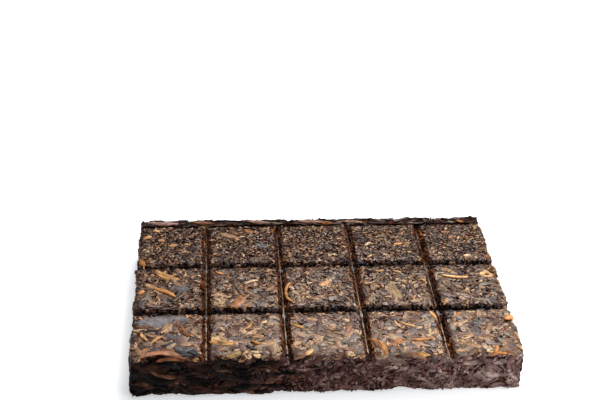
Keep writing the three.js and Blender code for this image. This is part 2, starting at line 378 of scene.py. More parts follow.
# %% [markdown]
# ## Which part of the form is which
#
# The leaves differ by where they lie. The squares show broad flakes, the groove walls are smooth and dark
# where the mould's ridges rubbed them, the sides show the leaf in layers, and the underside is plain. A face
# of the form tells its region by its normal and its place.

# %% Regions of the form
FLAT = 0.8  # the height of a face's normal above which it counts as flat
SIDE_BAND = 1.3 * MM
TOP_BAND = 0.5 * MM
SHOULDER_BAND = 1.8 * MM
FLOOR_BAND = (0.6 * MM, 0.9 * MM)  # below and above the floor
WALL_BAND = 0.4 * MM

x, y, z = face_centre.T
facing_up = face_normal[:, 2]
from_side = np.minimum(WIDTH / 2 - np.abs(x), DEPTH / 2 - np.abs(y))
upper = z > GROOVE_Z - WALL_BAND
at_side = from_side < SIDE_BAND
on_rim = y > RIM_START
near_floor = (z > GROOVE_Z - FLOOR_BAND[0]) & (z < GROOVE_Z + FLOOR_BAND[1])
REGION = {
    "top": (facing_up > FLAT) & (z > THICKNESS - TOP_BAND) & ~on_rim,
    "rim": (facing_up > 0.3) & upper & on_rim,
    "wall": (facing_up <= FLAT) & upper & ~at_side & ~on_rim,
    "groove_floor": (facing_up > 0.6) & near_floor,
    "side": (np.abs(facing_up) <= FLAT) & at_side,
    "underside": facing_up < -FLAT,
    "shoulder": (facing_up > 0.25) & (facing_up <= 0.9) & (z > THICKNESS - SHOULDER_BAND) & at_side & ~on_rim,
}
for region, faces in REGION.items():
    print(f"{region}: {face_area[faces].sum() / MM**2:.0f} square mm")

# %% [markdown]
# ## Leaves are modelled once
#
# Each kind of leaf is modelled once, a unit long, wide and thick, in a few versions that differ by their
# seed. A flake starts as a disc: it is extruded to give it thickness and inset so that its upper face is
# crowned, because a flat face would catch the light like paper. A ribbed leaf starts as a grid whose middle
# line is lifted into a midrib. A rolled leaf starts as a sphere drawn out along X, flattened and twisted, and
# a curl is a small disc spun part of the way round a circle. Few faces each, since thousands are laid.


# %% Helpers for modelling a leaf
def new_pattern(add_mesh, **settings):
    """Adds the mesh that a leaf is modelled from."""
    deselect()
    add_mesh(**settings)
    return bpy.context.object


def start_editing():
    bpy.ops.object.mode_set(mode="EDIT")
    bpy.ops.mesh.select_all(action="SELECT")


def finish_editing(piece, roughen, seed):
    """Pushes the points about a little, turns the faces outwards, and gives the leaf's points and triangles.
    The object is only a pattern, so it is removed."""
    bpy.ops.mesh.select_all(action="SELECT")
    bpy.ops.transform.vertex_random(offset=roughen, seed=seed)
    bpy.ops.mesh.normals_make_consistent(inside=False)
    bpy.ops.object.mode_set(mode="OBJECT")
    place_in_mesh(piece)
    piece.data.calc_loop_triangles()
    points = points_of(piece.data)
    triangles = np.array([t.vertices[:] for t in piece.data.loop_triangles])
    bpy.data.objects.remove(piece)
    return points, triangles


def select_points(mesh, wanted):
    bpy.ops.mesh.select_all(action="DESELECT")
    for v in mesh.verts:
        v.select = wanted(v.co)
    mesh.select_flush(True)


def narrow_ends(piece, factor, beyond=0.3):
    """Scales the points past a share of the length towards the middle line, for a pointed leaf."""
    mesh = bmesh.from_edit_mesh(piece.data)
    for side in (-1, 1):
        select_points(mesh, lambda co: co.x * side > beyond)
        bpy.ops.transform.resize(value=(1, factor, 1), center_override=(0, 0, 0))


# %% Flakes, chips and crumbs
def new_disc(corners, **settings):
    add_circle = bpy.ops.mesh.primitive_circle_add
    return new_pattern(add_circle, vertices=corners, radius=0.5, fill_type="NGON", **settings)


def model_flake(corners, pointed, seed):
    """A flat piece of torn leaf, crowned on top."""
    flake = new_disc(corners)
    start_editing()
    bpy.ops.mesh.extrude_region_move(TRANSFORM_OT_translate={"value": (0, 0, 0.6)})
    bpy.ops.mesh.inset(thickness=0.13, depth=0.4)
    narrow_ends(flake, pointed)
    return finish_editing(flake, 0.06, seed)


def model_chip(corners, seed):
    """A small flat piece, without a crown."""
    chip = new_disc(corners)
    start_editing()
    bpy.ops.mesh.extrude_region_move(TRANSFORM_OT_translate={"value": (0, 0, 1)})
    bpy.ops.transform.resize(value=(0.82, 0.7, 1), center_override=(0, 0, 0))
    return finish_editing(chip, 0.09, seed)


def model_crumb(seed):
    add_ball = bpy.ops.mesh.primitive_ico_sphere_add
    crumb = new_pattern(add_ball, subdivisions=1, radius=0.5, location=(0, 0, 0.5))
    start_editing()
    return finish_editing(crumb, 0.13, seed)


flakes = [model_flake(8, 0.75, 1), model_flake(9, 0.6, 2), model_flake(8, 1.0, 3), model_flake(9, 0.45, 4)]
chips = [model_chip(5, 5), model_chip(6, 6), model_chip(6, 7)]
crumbs = [model_crumb(8), model_crumb(9)]
print("triangles:", [len(shape[1]) for shape in flakes + chips + crumbs])

# %% Ribbed leaves
RIB_HALF = 0.1
EDGE_FROM = 0.4
ENDS = ((0.8, 0.12), (0.65, 0.28))  # factor, and the share of the length beyond which it narrows

ripples = bpy.data.textures.new("ripples", "CLOUDS")
ripples.noise_scale = 0.22


def model_ribbed_leaf(cells, tip, rib, seed, cells_across=4, ripple=0.5):
    """A flat leaf, rippled, lifted along its midrib and pressed down along its edges."""
    add_grid = bpy.ops.mesh.primitive_grid_add
    leaf = new_pattern(
        add_grid, x_subdivisions=cells, y_subdivisions=cells_across, size=1, location=(seed, 0, 0)
    )
    waves = {"texture": ripples, "texture_coords": "GLOBAL", "strength": ripple}
    apply_modifier(leaf, "DISPLACE", direction="Z", mid_level=0.5, **waves)
    leaf.location = (0, 0, 0)
    start_editing()
    mesh = bmesh.from_edit_mesh(leaf.data)
    select_points(mesh, lambda co: abs(co.y) < RIB_HALF)
    bpy.ops.transform.translate(value=(0, 0, rib))
    select_points(mesh, lambda co: abs(co.y) > EDGE_FROM)
    bpy.ops.transform.translate(value=(0, 0, -0.3))
    for factor, beyond in (*ENDS, (tip, 0.42)):
        narrow_ends(leaf, factor, beyond)
    bpy.ops.object.mode_set(mode="OBJECT")
    apply_modifier(leaf, "SOLIDIFY", thickness=0.35, offset=0)
    leaf.location = (0, 0, 0.55)
    start_editing()
    return finish_editing(leaf, 0.035, seed)


ribbed_leaves = [
    model_ribbed_leaf(5, 0.35, 0.3, 21),
    model_ribbed_leaf(6, 0.2, -0.3, 22),
    model_ribbed_leaf(5, 0.7, 0.25, 23),
]
flat_leaf = model_ribbed_leaf(16, 0.3, 0.2, 42, cells_across=6, ripple=0.9)
folded_leaf = model_ribbed_leaf(14, 0.25, -0.6, 43, cells_across=6, ripple=0.7)
print("triangles:", [len(shape[1]) for shape in ribbed_leaves])


# %% Rolled leaves, curls and stalks
def model_rolled_leaf(sides, rings, flat, twist, seed, roughen=0.03):
    """A leaf rolled and twisted along its length, as it is before pressing."""
    rolled = new_pattern(bpy.ops.mesh.primitive_uv_sphere_add, segments=sides, ring_count=rings, radius=0.5)
    rolled.rotation_euler = (0, math.pi / 2, 0)
    place_in_mesh(rolled)
    rolled.scale = (1, 1, flat)
    place_in_mesh(rolled)
    turn = {"deform_method": "TWIST", "deform_axis": "X", "angle": math.radians(twist)}
    apply_modifier(rolled, "SIMPLE_DEFORM", **turn)
    rolled.location = (0, 0, 0.5)
    place_in_mesh(rolled)
    start_editing()
    return finish_editing(rolled, roughen, seed)


TIP_SLICE = 0.05  # radians, half of what counts as the end of a curl


def model_curl(degrees, thin, seed):
    """A strand of leaf curled up flat, thinner at both ends."""
    curl = new_disc(5, rotation=(math.pi / 2, 0, 0))
    curl.scale = (thin, 1, 1)
    radius = 0.5 - thin / 2
    curl.location = (radius, 0, 0.5)
    place_in_mesh(curl)
    start_editing()
    turn = math.radians(degrees)
    bpy.ops.mesh.spin(steps=9, angle=turn, center=(0, 0, 0), axis=(0, 0, 1))
    mesh = bmesh.from_edit_mesh(curl.data)
    for at in (0, turn):
        tip = Vector((math.cos(at) * radius, math.sin(at) * radius, 0.5))
        select_points(
            mesh, lambda co: (co - tip).length < 0.51 and abs(co.xy.angle_signed(tip.xy, 0)) < TIP_SLICE
        )
        bpy.ops.transform.resize(value=(0.4, 0.4, 0.4), center_override=tip)
    return finish_editing(curl, 0.03, seed)


def model_ring(seed):
    """A leaf rolled up into a ring that lies flat."""
    sizes = {"major_segments": 14, "minor_segments": 6, "major_radius": 0.33, "minor_radius": 0.16}
    ring = new_pattern(bpy.ops.mesh.primitive_torus_add, location=(0, 0, 0.5), **sizes)
    ring.scale = (1, 1, 2.8)
    place_in_mesh(ring)
    start_editing()
    mesh = bmesh.from_edit_mesh(ring.data)
    select_points(mesh, lambda co: co.x > 0.2)
    bpy.ops.transform.resize(value=(1, 0.8, 0.8), center_override=(0, 0, 0))
    return finish_editing(ring, 0.09, seed)


def model_stalk(seed):
    """A bit of leaf stalk: a thin rod, a little crooked."""
    stalk = new_pattern(bpy.ops.mesh.primitive_cylinder_add, vertices=5, radius=0.5, depth=1)
    stalk.rotation_euler = (0, math.pi / 2, 0)
    stalk.location = (0, 0, 0.5)
    place_in_mesh(stalk)
    start_editing()
    for at in (-0.2, 0.1, 0.3):
        bpy.ops.mesh.select_all(action="SELECT")
        bpy.ops.mesh.bisect(plane_co=(at, 0, 0), plane_no=(1, 0, 0))
    return finish_editing(stalk, 0.07, seed)


rolled_leaves = [
    model_rolled_leaf(6, 7, 0.45, 110, 11),
    model_rolled_leaf(6, 7, 0.4, -150, 12),
    model_rolled_leaf(5, 6, 0.6, 60, 13),
]
curved_bud = model_rolled_leaf(10, 16, 0.7, 80, 41, roughen=0.02)
ring_leaf = model_ring(44)
curls = [model_curl(230, 0.3, 31), model_curl(-150, 0.25, 32), model_curl(300, 0.34, 33)]
stalks = [model_stalk(16), model_stalk(17)]
print("triangles:", [len(shape[1]) for shape in rolled_leaves + curls + stalks])

# %% [markdown]
# ## Leaves that stand out
#
# Some leaves are large or bright enough to be known one by one: a curled leaf along the front edge, a flat
# grey one behind it, golden buds, a crescent, a pale stalk, a ring. Each has its own place and heading in
# millimetres and degrees, then its length, width, thickness, lift, bend and tint. They are listed before any
# leaf is laid, because the common leaves keep clear of them and so none of these is buried.

# %% The leaves that stand out
# SLATE and LILAC are greys for smooth leaves: partly their own colour, partly painted sheen.
BLACK, SLATE, LILAC, DARK_RED, RED_BROWN, PINK_BROWN, AMBER = 0.0, 0.1, 0.15, 0.2, 0.3, 0.4, 0.5
PALE_PINK, ORANGE, OLIVE, TAN, GOLD, CREAM = 0.45, 0.6, 0.7, 0.8, 0.9, 1.0

# shape, x, y, heading, length, width, thickness, lift, bend, tint
MARKED = [
    # Front row, first square: the curled leaf over the edge and its lower fold, two flat grey leaves, dark
    # hollows and twigs
    (curved_bud, -62.8, -49.3, -2, 17.5, 2.0, 1.9, 0.4, -0.14, PINK_BROWN - 0.03),
    (curved_bud, -60.0, -50.9, 2, 11, 1.5, 1.2, 0.1, -0.12, RED_BROWN - 0.04),
    (flat_leaf, -66.4, -27.2, 8, 14, 6.4, 0.9, -0.2, 0.06, LILAC),
    (flat_leaf, -58.6, -25.4, -7, 10, 3.6, 0.9, -0.2, -0.04, LILAC - 0.02),
    (curved_bud, -67.0, -33.2, 3, 11, 1.2, 0.9, -0.25, -0.06, BLACK),
    (curved_bud, -53.6, -48.5, 5, 10, 2.2, 0.9, -0.1, 0.05, BLACK),
    (curved_bud, -60.4, -41.6, 24, 7, 1.6, 0.8, -0.1, 0.1, BLACK),
    (flat_leaf, -70.5, -30.0, -10, 6, 3.4, 0.9, -0.2, 0.0, DARK_RED + 0.05),
    (flat_leaf, -54.5, -45.6, -12, 7.5, 3.4, 1.4, -0.1, 0.1, SLATE),
    (curved_bud, -52.0, -46.9, -44, 6, 2.6, 1.4, -0.2, 0.1, BLACK),
    (folded_leaf, -55.2, -32.6, -62, 11, 2.6, 1.2, -0.2, 0.08, RED_BROWN + 0.05),
    (flat_leaf, -61.4, -31.8, 63, 7.2, 3.2, 1.1, -0.2, 0.06, TAN),
    (flat_leaf, -51.2, -34.3, 65, 8, 2.6, 0.8, -0.3, 0.0, TAN - 0.03),
    (curved_bud, -70.0, -37.3, -62, 6, 1.5, 1.1, -0.1, 0.1, GOLD - 0.03),
    (curved_bud, -65.2, -39.2, 47, 7.6, 1.5, 1.1, -0.1, -0.1, GOLD - 0.05),
    (curved_bud, -67.5, -36.4, -35, 4.5, 1.3, 1.0, -0.1, 0.1, TAN),
    (flat_leaf, -58.6, -37.0, -18, 6, 3.4, 0.9, -0.25, 0.0, SLATE),
    (flat_leaf, -69.3, -46.7, 61, 5.4, 3.4, 1.0, -0.2, 0.0, AMBER + 0.03),
    (folded_leaf, -61.5, -46.3, 12, 9, 2.4, 1.0, -0.2, 0.05, AMBER),
    (folded_leaf, -71.7, -46.1, -69, 7, 1.7, 1.2, -0.1, 0.0, TAN),
    # Front row, second square: a yellow leaf, a pale arc, a swirl, an orange bud and a dark curl first
    (folded_leaf, -40.3, -41.3, -11, 9, 3.0, 1.1, -0.2, 0.06, GOLD),
    (curved_bud, -30.2, -31.5, 49, 6.4, 1.2, 1.0, -0.15, 0.15, GOLD),
    (curls[0], -26.0, -36.3, -32, 5.6, 4.2, 0.9, -0.15, 0.0, TAN),
    (curved_bud, -27.2, -41.8, -37, 4.6, 1.8, 1.3, -0.2, 0.1, ORANGE),
    (curved_bud, -29.3, -45.0, -39, 5.4, 1.8, 1.2, -0.2, 0.12, BLACK),
    (flat_leaf, -22.8, -42.4, 3, 6.4, 3.4, 0.9, -0.2, 0.0, TAN),
    (flat_leaf, -35.6, -48.6, 23, 6, 2.8, 0.9, -0.2, 0.0, TAN - 0.05),
    # Front row, third square
    (curved_bud, -10.9, -31.4, -35, 6.4, 1.5, 1.0, -0.15, 0.05, GOLD),
    (flat_leaf, -4.8, -27.3, -20, 5, 2.2, 0.9, -0.2, 0.0, TAN),
    (curved_bud, -7.5, -48.2, 41, 5, 2.0, 1.2, -0.2, 0.06, GOLD + 0.03),
    (flat_leaf, 9.1, -33.3, 67, 6.8, 2.6, 0.9, -0.2, 0.0, PINK_BROWN),
    # Front row, fourth square: an orange leaf and patch, a dark ring, a twig and an orange arc first
    (folded_leaf, 19.8, -44.8, -62, 11, 2.8, 1.2, -0.2, -0.1, ORANGE),
    (flat_leaf, 26.5, -43.1, 40, 6.4, 2.6, 1.0, -0.2, 0.0, ORANGE - 0.04),
    (curls[2], 23.5, -27.6, -12, 3.4, 3.0, 0.9, -0.1, 0.0, DARK_RED),
    (curved_bud, 32.1, -31.6, -30, 9.4, 1.3, 1.0, -0.1, 0.06, TAN + 0.04),
    (curved_bud, 36.3, -41.4, 2, 10.5, 1.6, 1.1, -0.1, 0.08, ORANGE + 0.01),
    (flat_leaf, 35.9, -50.4, -25, 5, 2.0, 1.0, -0.1, 0.0, GOLD - 0.05),
    # Two buds where grooves cross
    (curved_bud, 43.2, -25.6, -72, 5.6, 1.8, 1.1, -0.1, 0.05, GOLD),
    (curved_bud, 49.9, -16.4, 62, 5.0, 1.6, 1.1, -0.1, 0.05, GOLD - 0.04),
    # Front row, fifth square: the last two reach over the right edge
    (folded_leaf, 54.7, -44.8, -33, 8.4, 2.6, 1.0, -0.2, 0.04, TAN + 0.03),
    (curved_bud, 51.7, -48.5, 6, 7, 1.4, 0.9, -0.2, 0.05, TAN),
    (folded_leaf, 65.0, -50.8, 9, 5.2, 2.2, 1.0, -0.2, 0.0, ORANGE),
    (curved_bud, 64.1, -48.3, 66, 5, 1.6, 1.0, -0.2, 0.06, ORANGE),
    (flat_leaf, 53.1, -25.4, 47, 3, 2.0, 0.9, -0.2, 0.0, ORANGE),
    (flat_leaf, 69.8, -37.0, -46, 3.6, 2.0, 0.9, -0.2, 0.0, AMBER),
    (flat_leaf, 52.6, -36.5, -24, 4.2, 2.4, 0.6, -0.5, 0.0, BLACK),
    (flat_leaf, 60.4, -31.0, 10, 5.2, 3.4, 0.9, -0.25, 0.0, SLATE),
    (curved_bud, 73.2, -28.9, 30, 5.2, 2.6, 1.7, 0.1, 0.0, ORANGE),
    (curved_bud, 73.9, -47.9, -24, 4.4, 0.9, 0.8, 0.1, 0.0, TAN),
    # Middle row: a rust leaf, a thin twig, a pale stem, golden tips, the crescent, the pale stalk, the ring
    (flat_leaf, -33.6, -14.2, 62, 9.5, 4.6, 0.9, -0.2, 0.05, AMBER + 0.03),
    (curved_bud, -34.1, -4.6, -69, 14, 0.8, 0.9, 0.0, 0.02, DARK_RED),
    (curved_bud, -28.0, -0.7, 24, 6.6, 1.5, 1.1, -0.1, -0.08, CREAM),
    (curved_bud, -40.8, 6.4, -27, 4.2, 1.3, 1.0, -0.1, 0.16, ORANGE),
    (folded_leaf, -62.3, 4.4, -34, 11, 3.2, 1.2, -0.15, 0.1, GOLD - 0.02),
    (curved_bud, -62.8, -7.4, -36, 11.5, 2.4, 1.3, -0.1, -0.06, ORANGE + 0.01),
    (flat_leaf, -68.5, -3.0, -40, 6, 2.6, 0.9, -0.2, 0.0, TAN),
    (flat_leaf, -56.5, -4.5, -20, 7, 4.2, 0.9, -0.25, 0.0, SLATE),
    (curved_bud, -12.9, -8.6, 88, 15, 1.8, 1.3, -0.05, -0.2, ORANGE + 0.01),
    (flat_leaf, 2.2, -2.3, 25, 5.4, 3.0, 0.9, -0.2, 0.0, GOLD - 0.03),
    (flat_leaf, 30.2, -8.4, -78, 11.5, 4.0, 0.9, -0.2, 0.08, OLIVE + 0.03),
    (flat_leaf, 23.0, -4.7, -33, 3.2, 1.8, 0.9, -0.2, 0.0, GOLD),
    (flat_leaf, 34.5, -1.3, -10, 3.8, 1.8, 0.9, -0.2, 0.0, TAN),
    (curved_bud, 25.9, 6.3, 7, 4, 1.5, 1.0, -0.15, 0.1, GOLD),
    (curved_bud, 33.0, 5.6, -27, 4, 1.5, 1.0, -0.15, 0.1, GOLD - 0.06),
    (curved_bud, 56.4, 0.9, -10, 11.5, 1.4, 1.2, 0.1, 0.08, GOLD + 0.03),
    (flat_leaf, 54.1, 6.4, -32, 4.8, 2.4, 0.9, -0.2, 0.0, TAN + 0.02),
    (ring_leaf, 70.0, 2.2, -8, 6.4, 4.4, 1.1, -0.1, 0.0, GOLD + 0.03),
    # Two orange leaves by the left edge
    (flat_leaf, -73.0, 14.8, -70, 4.6, 2.0, 1.0, -0.1, 0.0, ORANGE),
    (flat_leaf, -72.4, -7.0, 30, 3, 2.0, 1.0, -0.1, 0.0, ORANGE),
    # Back row
    (curved_bud, -71.6, 34.4, 27, 4.4, 2.3, 1.1, -0.15, 0.0, ORANGE + 0.02),
    (curved_bud, -65.6, 31.9, -14, 3.2, 1.9, 1.1, -0.15, 0.0, GOLD - 0.04),
    (curved_bud, -60.7, 27.8, 8, 4.2, 1.9, 1.1, -0.15, 0.1, GOLD),
    (flat_leaf, -36.7, 35.6, -27, 7.4, 2.8, 0.9, -0.2, 0.0, OLIVE + 0.08),
    (flat_leaf, -27.7, 38.6, -29, 4.4, 2.4, 1.0, -0.15, 0.0, AMBER),
    (flat_leaf, -22.6, 26.9, -33, 6, 2.8, 0.9, -0.2, 0.0, SLATE),
    (curved_bud, 23.1, 27.2, 39, 3.8, 1.5, 1.0, -0.1, 0.0, CREAM),
    (flat_leaf, 36.5, 27.2, 7, 4, 1.8, 0.9, -0.2, 0.0, ORANGE),
    (curved_bud, 64.6, 16.9, 9, 3.6, 2.1, 1.1, -0.1, 0.0, CREAM),
    (curved_bud, 72.6, 16.1, -43, 3, 1.5, 1.0, -0.1, 0.0, AMBER),
    # Rim: pinkish strips, an amber one and a bud
    (folded_leaf, -64.9, 46.2, -5, 12, 2.2, 1.7, -0.1, 0.02, PALE_PINK),
    (folded_leaf, -48.0, 46.6, -9, 9, 1.6, 1.5, -0.2, 0.0, PINK_BROWN),
    (folded_leaf, -23.6, 46.8, -13, 10.5, 1.9, 1.6, -0.1, 0.02, PALE_PINK - 0.01),
    (folded_leaf, -0.5, 46.8, -5, 9.5, 1.8, 1.5, -0.1, -0.02, PALE_PINK - 0.02),
    (folded_leaf, 6.5, 46.0, -12, 6, 1.8, 1.2, -0.2, 0.0, AMBER),
    (folded_leaf, 18.5, 46.2, -8, 8.5, 1.8, 1.4, -0.1, 0.0, PALE_PINK - 0.03),
    (curved_bud, 66.5, 46.0, -30, 4, 1.6, 1.1, -0.2, 0.0, AMBER),
]


def clear_of_marked(places):
    """True where none of these leaves covers a place in plan."""
    clear = np.ones(len(places), bool)
    for _, x, y, heading, length, width, *_ in MARKED:
        away = places[:, :2] / MM - (x, y)
        c, s = math.cos(math.radians(heading)), math.sin(math.radians(heading))
        u = (away[:, 0] * c + away[:, 1] * s) / (length / 2)
        v = (away[:, 1] * c - away[:, 0] * s) / (width / 2)
        clear &= u**2 + v**2 > 1
    return clear


CLEAR = clear_of_marked(face_centre)
for region in ("top", "shoulder", "rim"):
    REGION[region] &= CLEAR
print(len(MARKED), "leaves stand out")

# %% [markdown]
# ## Laying leaves
#
# Laying works on arrays, since Python objects for thousands of leaves would take minutes. A leaf is first
# stretched and bent flat beside its place. Where it lies on a square, what would reach past the square's edge
# is pushed back to the edge, because the mould cuts it there: that keeps the grooves open and their edges
# straight. Each point then drops to the nearest place on the form and is lifted along the form's normal by
# its own height in the leaf. All leaves of one kind are joined into one mesh.
#
# Three values go with every point for the finish: a tint for the whole leaf, how high the point lies in the
# leaf, lowered on leaves that lie low so that the finish paints shade on leaf rims and sunk leaves, and where
# it lies along and across the leaf in millimetres, which the leaf's fibres follow.

# %% Pick places for leaves
SEED = 20861
rng = np.random.default_rng(SEED)


def pick_places(region, count, spacing):
    """Random places on a region of the form, none nearer to another than the spacing."""
    faces = np.flatnonzero(region)
    chosen = rng.choice(faces, size=4 * count, p=face_area[faces] / face_area[faces].sum())
    places = face_centre[chosen] + rng.uniform(-SKIN / 2, SKIN / 2, (len(chosen), 3))
    cells = {}
    kept = []
    for i, place in enumerate(places):
        cell = tuple(np.floor(place / spacing).astype(int))
        if any(
            np.sum((places[j] - place) ** 2) < spacing**2
            for dx in (-1, 0, 1)
            for dy in (-1, 0, 1)
            for dz in (-1, 0, 1)
            for j in cells.get((cell[0] + dx, cell[1] + dy, cell[2] + dz), ())
        ):
            continue
        cells.setdefault(cell, []).append(i)
        kept.append(i)
        if len(kept) == count:
            break
    return places[kept], face_normal[chosen[kept]]


def row_share(places):
    """0 on the front row, 1 on the last row and the rim."""
    return np.clip((places[:, 1] - FRONT - SQUARE_Y / 2) / (ROWS_DEPTH - SQUARE_Y), 0, 1)


# %% Draw the leaves' headings and tints
def any_way(places, normals):
    return rng.uniform(0, math.pi, len(places))


def turned(spread, middle=0.0):
    """Headings near one angle."""
    return lambda places, normals: rng.normal(middle, spread, len(places))


def random_tints(power=1.0, top=1.0):
    """Tints up to a top value. A larger power makes dark leaves commoner."""
    return lambda places, normals: top * rng.random(len(places)) ** power


# %% Draw the leaves' sizes
SLIMMEST = 0.8  # a leaf's width is at most this share of its length
VERSIONS = 1000


def draw_leaves(places, normals, angles, tints, size, lift, bend=0.12, tilt=0.04, shrink=0.0):
    """Random leaves, one at each place. size is the ranges of length, width and thickness in mm, and lift
    the range of height. shrink is how much smaller the leaves get to the back."""
    count = len(places)
    scale = (1 - shrink * row_share(places)) * MM
    lengths, widths, thicknesses = size
    length = rng.uniform(*lengths, count) * scale
    return {
        "place": places,
        "normal": normals,
        "angle": angles,
        "length": length,
        "width": np.minimum(rng.uniform(*widths, count) * scale, SLIMMEST * length),
        "thick": rng.uniform(*thicknesses, count) * MM,
        "bend": rng.normal(0, bend, count),
        "slope": rng.normal(0, tilt, (count, 2)),
        "base": rng.uniform(*lift, count) * MM,
        "tint": tints,
        "version": rng.integers(0, VERSIONS, count),
    }


def scatter(region, count, spacing, angles, tints, *how):
    """Leaves at random places on a region. angles and tints are functions of the places and the normals."""
    places, normals = pick_places(region, count, spacing * MM)
    return draw_leaves(places, normals, angles(places, normals), tints(places, normals), *how)


# %% Where a leaf may reach
OVERHANG = 0.1 * MM
OUTER_OVERHANG = 1.0 * MM


def mould_edges(places):
    """In plan, the low and high corners of the square or rim that each place is on."""
    step = np.array([SQUARE_X + GROOVE_X, SQUARE_Y + GROOVE_Y])
    groove = np.array([GROOVE_X, GROOVE_Y])
    corner = np.array([LEFT, FRONT])
    square = np.floor((places[:, :2] - corner + groove / 2) / step)
    low = corner + np.clip(square, 0, [COLUMNS - 1, ROWS - 1]) * step
    high = low + [SQUARE_X, SQUARE_Y]
    on_rim = places[:, 1] > LAST_ROW_END + RIM_GAP / 2
    low[on_rim] = (LEFT, -FRONT - RIM_Y)
    high[on_rim] = (-LEFT, -FRONT)
    low -= np.where(low < corner + MM, OUTER_OVERHANG, OVERHANG)
    high += np.where(high > -corner - MM, OUTER_OVERHANG, OVERHANG)
    return low, high


# %% Lay leaves on the form
LOST_CRUMB = Vector((28.5, 0, 0)) * MM
LOST_CRUMB_HALF = np.array([4.2, 3.0, 2.4]) * MM
HIGHEST = THICKNESS + 1.3 * MM
LOWEST = 0.02 * MM
# Painted shade: a leaf that lies lower is painted darker, down to the darkest share.
SUNK_SHADE = (0.35, 0.75, 0.8 * MM)  # darkest, at the surface, and the lift that adds a whole step
FIBRE_SHIFT = 97  # keeps the fibres of two leaves from running on in each other


def leave_crumb_out(points):
    """Pushes points out of the place where a crumb broke off the bottom edge."""
    centre = np.array([LOST_CRUMB.x, FRONT, 0])
    away = (points - centre) / LOST_CRUMB_HALF
    far = np.linalg.norm(away, axis=1)
    inside = far < 1
    points[inside] = centre + away[inside] / np.maximum(far[inside, None], 0.05) * LOST_CRUMB_HALF
    return points


def headings_on(normals, angles):
    """Two unit vectors for each leaf, along and across it. Angle 0 runs level round the brick."""
    level_way = np.cross([0.0, 0.0, 1.0], normals)
    level_way[np.linalg.norm(level_way, axis=1) < 0.5] = (1.0, 0.0, 0.0)
    level_way -= normals * np.sum(level_way * normals, axis=1)[:, None]
    level_way /= np.linalg.norm(level_way, axis=1)[:, None]
    side_way = np.cross(normals, level_way)
    c, s = np.cos(angles)[:, None], np.sin(angles)[:, None]
    return level_way * c + side_way * s, side_way * c - level_way * s


def drop_on_form(points, lifts):
    """Each point goes to the nearest place on the form and is then lifted along the form's normal."""
    laid = np.empty_like(points)
    for i in range(len(points)):
        place, normal, _, _ = surface.find_nearest(Vector(points[i]))
        laid[i] = place + normal * lifts[i]
    laid[:, 2] = np.clip(laid[:, 2], LOWEST, HIGHEST)
    return leave_crumb_out(laid)


def lay_leaves(shapes, leaves, cut=False):
    """Lays the leaves. cut holds them within the square that they are on."""
    along, across = headings_on(leaves["normal"], leaves["angle"])
    low, high = mould_edges(leaves["place"])
    darkest, surface_shade, whole_step = SUNK_SHADE
    batches = []
    for number, (shape, triangles) in enumerate(shapes):
        mine = np.flatnonzero(leaves["version"] % len(shapes) == number)
        if not len(mine):
            continue
        own = {key: values[mine, None] for key, values in leaves.items()}
        u = shape[:, 0] * own["length"]
        v = shape[:, 1] * own["width"]
        bent = v + own["bend"] * own["length"] * (4 * shape[:, 0] ** 2 - 0.5)
        flat = own["place"] + u[..., None] * along[mine, None] + bent[..., None] * across[mine, None]
        if cut:
            flat[..., :2] = np.clip(flat[..., :2], low[mine, None], high[mine, None])
        slope = own["slope"]
        height = own["base"] + shape[:, 2] * own["thick"] + u * slope[..., 0] + bent * slope[..., 1]
        tint = np.broadcast_to(own["tint"], u.shape)
        sunk = np.clip(surface_shade + own["base"] / whole_step, darkest, 1.0)
        first_points = np.arange(len(mine))[:, None, None] * len(shape)
        batches.append(
            {
                "points": drop_on_form(flat.reshape(-1, 3), height.ravel()),
                "triangles": (triangles + first_points).reshape(-1, 3),
                "tint": tint.ravel(),
                "rise": (np.clip(shape[:, 2], 0, 1) * sunk).ravel(),
                "fibre": np.stack([u / MM, v / MM, tint * FIBRE_SHIFT], -1).reshape(-1, 3),
            }
        )
    return batches


# %% Join laid leaves into one mesh
def join_leaves(name, batches, finish, smooth_below=35):
    """Makes one mesh of all the batches, with the values for the finish on its points."""
    offset = 0
    triangles = []
    for batch in batches:
        triangles.append(batch["triangles"] + offset)
        offset += len(batch["points"])
    triangles = np.concatenate(triangles)
    mesh = bpy.data.meshes.new(name)
    mesh.vertices.add(offset)
    set_points(mesh, np.concatenate([b["points"] for b in batches]))
    mesh.loops.add(triangles.size)
    mesh.loops.foreach_set("vertex_index", triangles.ravel())
    mesh.polygons.add(len(triangles))
    mesh.polygons.foreach_set("loop_start", np.arange(0, triangles.size, 3))
    mesh.polygons.foreach_set("loop_total", np.full(len(triangles), 3))
    mesh.update(calc_edges=True)
    mesh.validate()
    for key, kind, field in (
        ("tint", "FLOAT", "value"),
        ("rise", "FLOAT", "value"),
        ("fibre", "FLOAT_VECTOR", "vector"),
    ):
        values = mesh.attributes.new(key, kind, "POINT")
        values.data.foreach_set(field, np.concatenate([b[key] for b in batches]).ravel())
    piece = bpy.data.objects.new(name, mesh)
    bpy.context.scene.collection.objects.link(piece)
    piece.data.materials.append(finish)
    work_on(piece)
    bpy.ops.object.shade_smooth_by_angle(angle=math.radians(smooth_below))
    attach(piece, "root")
    print(f"{name}: {len(triangles)} triangles")


# %% [markdown]
# ## Finishes
#
# Ripe pu erh leaf is dark brown all through, with a thin waxy skin that the press has polished. The skin
# gives the grey veil, so it needs a middling roughness and a plain clear reflection, not a grey colour alone.
# The colour of each leaf comes from its tint through a ramp, so that one finish gives black, brown, slate and
# tan leaves next to each other. Fibres run along the leaf. Its lower rim is painted dark and given little
# reflection: painted shade, for where no light reaches it.


# %% Colours and nodes
def linear(hex_colour):
    """An sRGB hex colour as the linear colour that a socket takes."""
    channels = [int(hex_colour[i : i + 2], 16) / 255 for i in (1, 3, 5)]
    return [c / 12.92 if c <= 0.04045 else ((c + 0.055) / 1.055) ** 2.4 for c in channels] + [1.0]


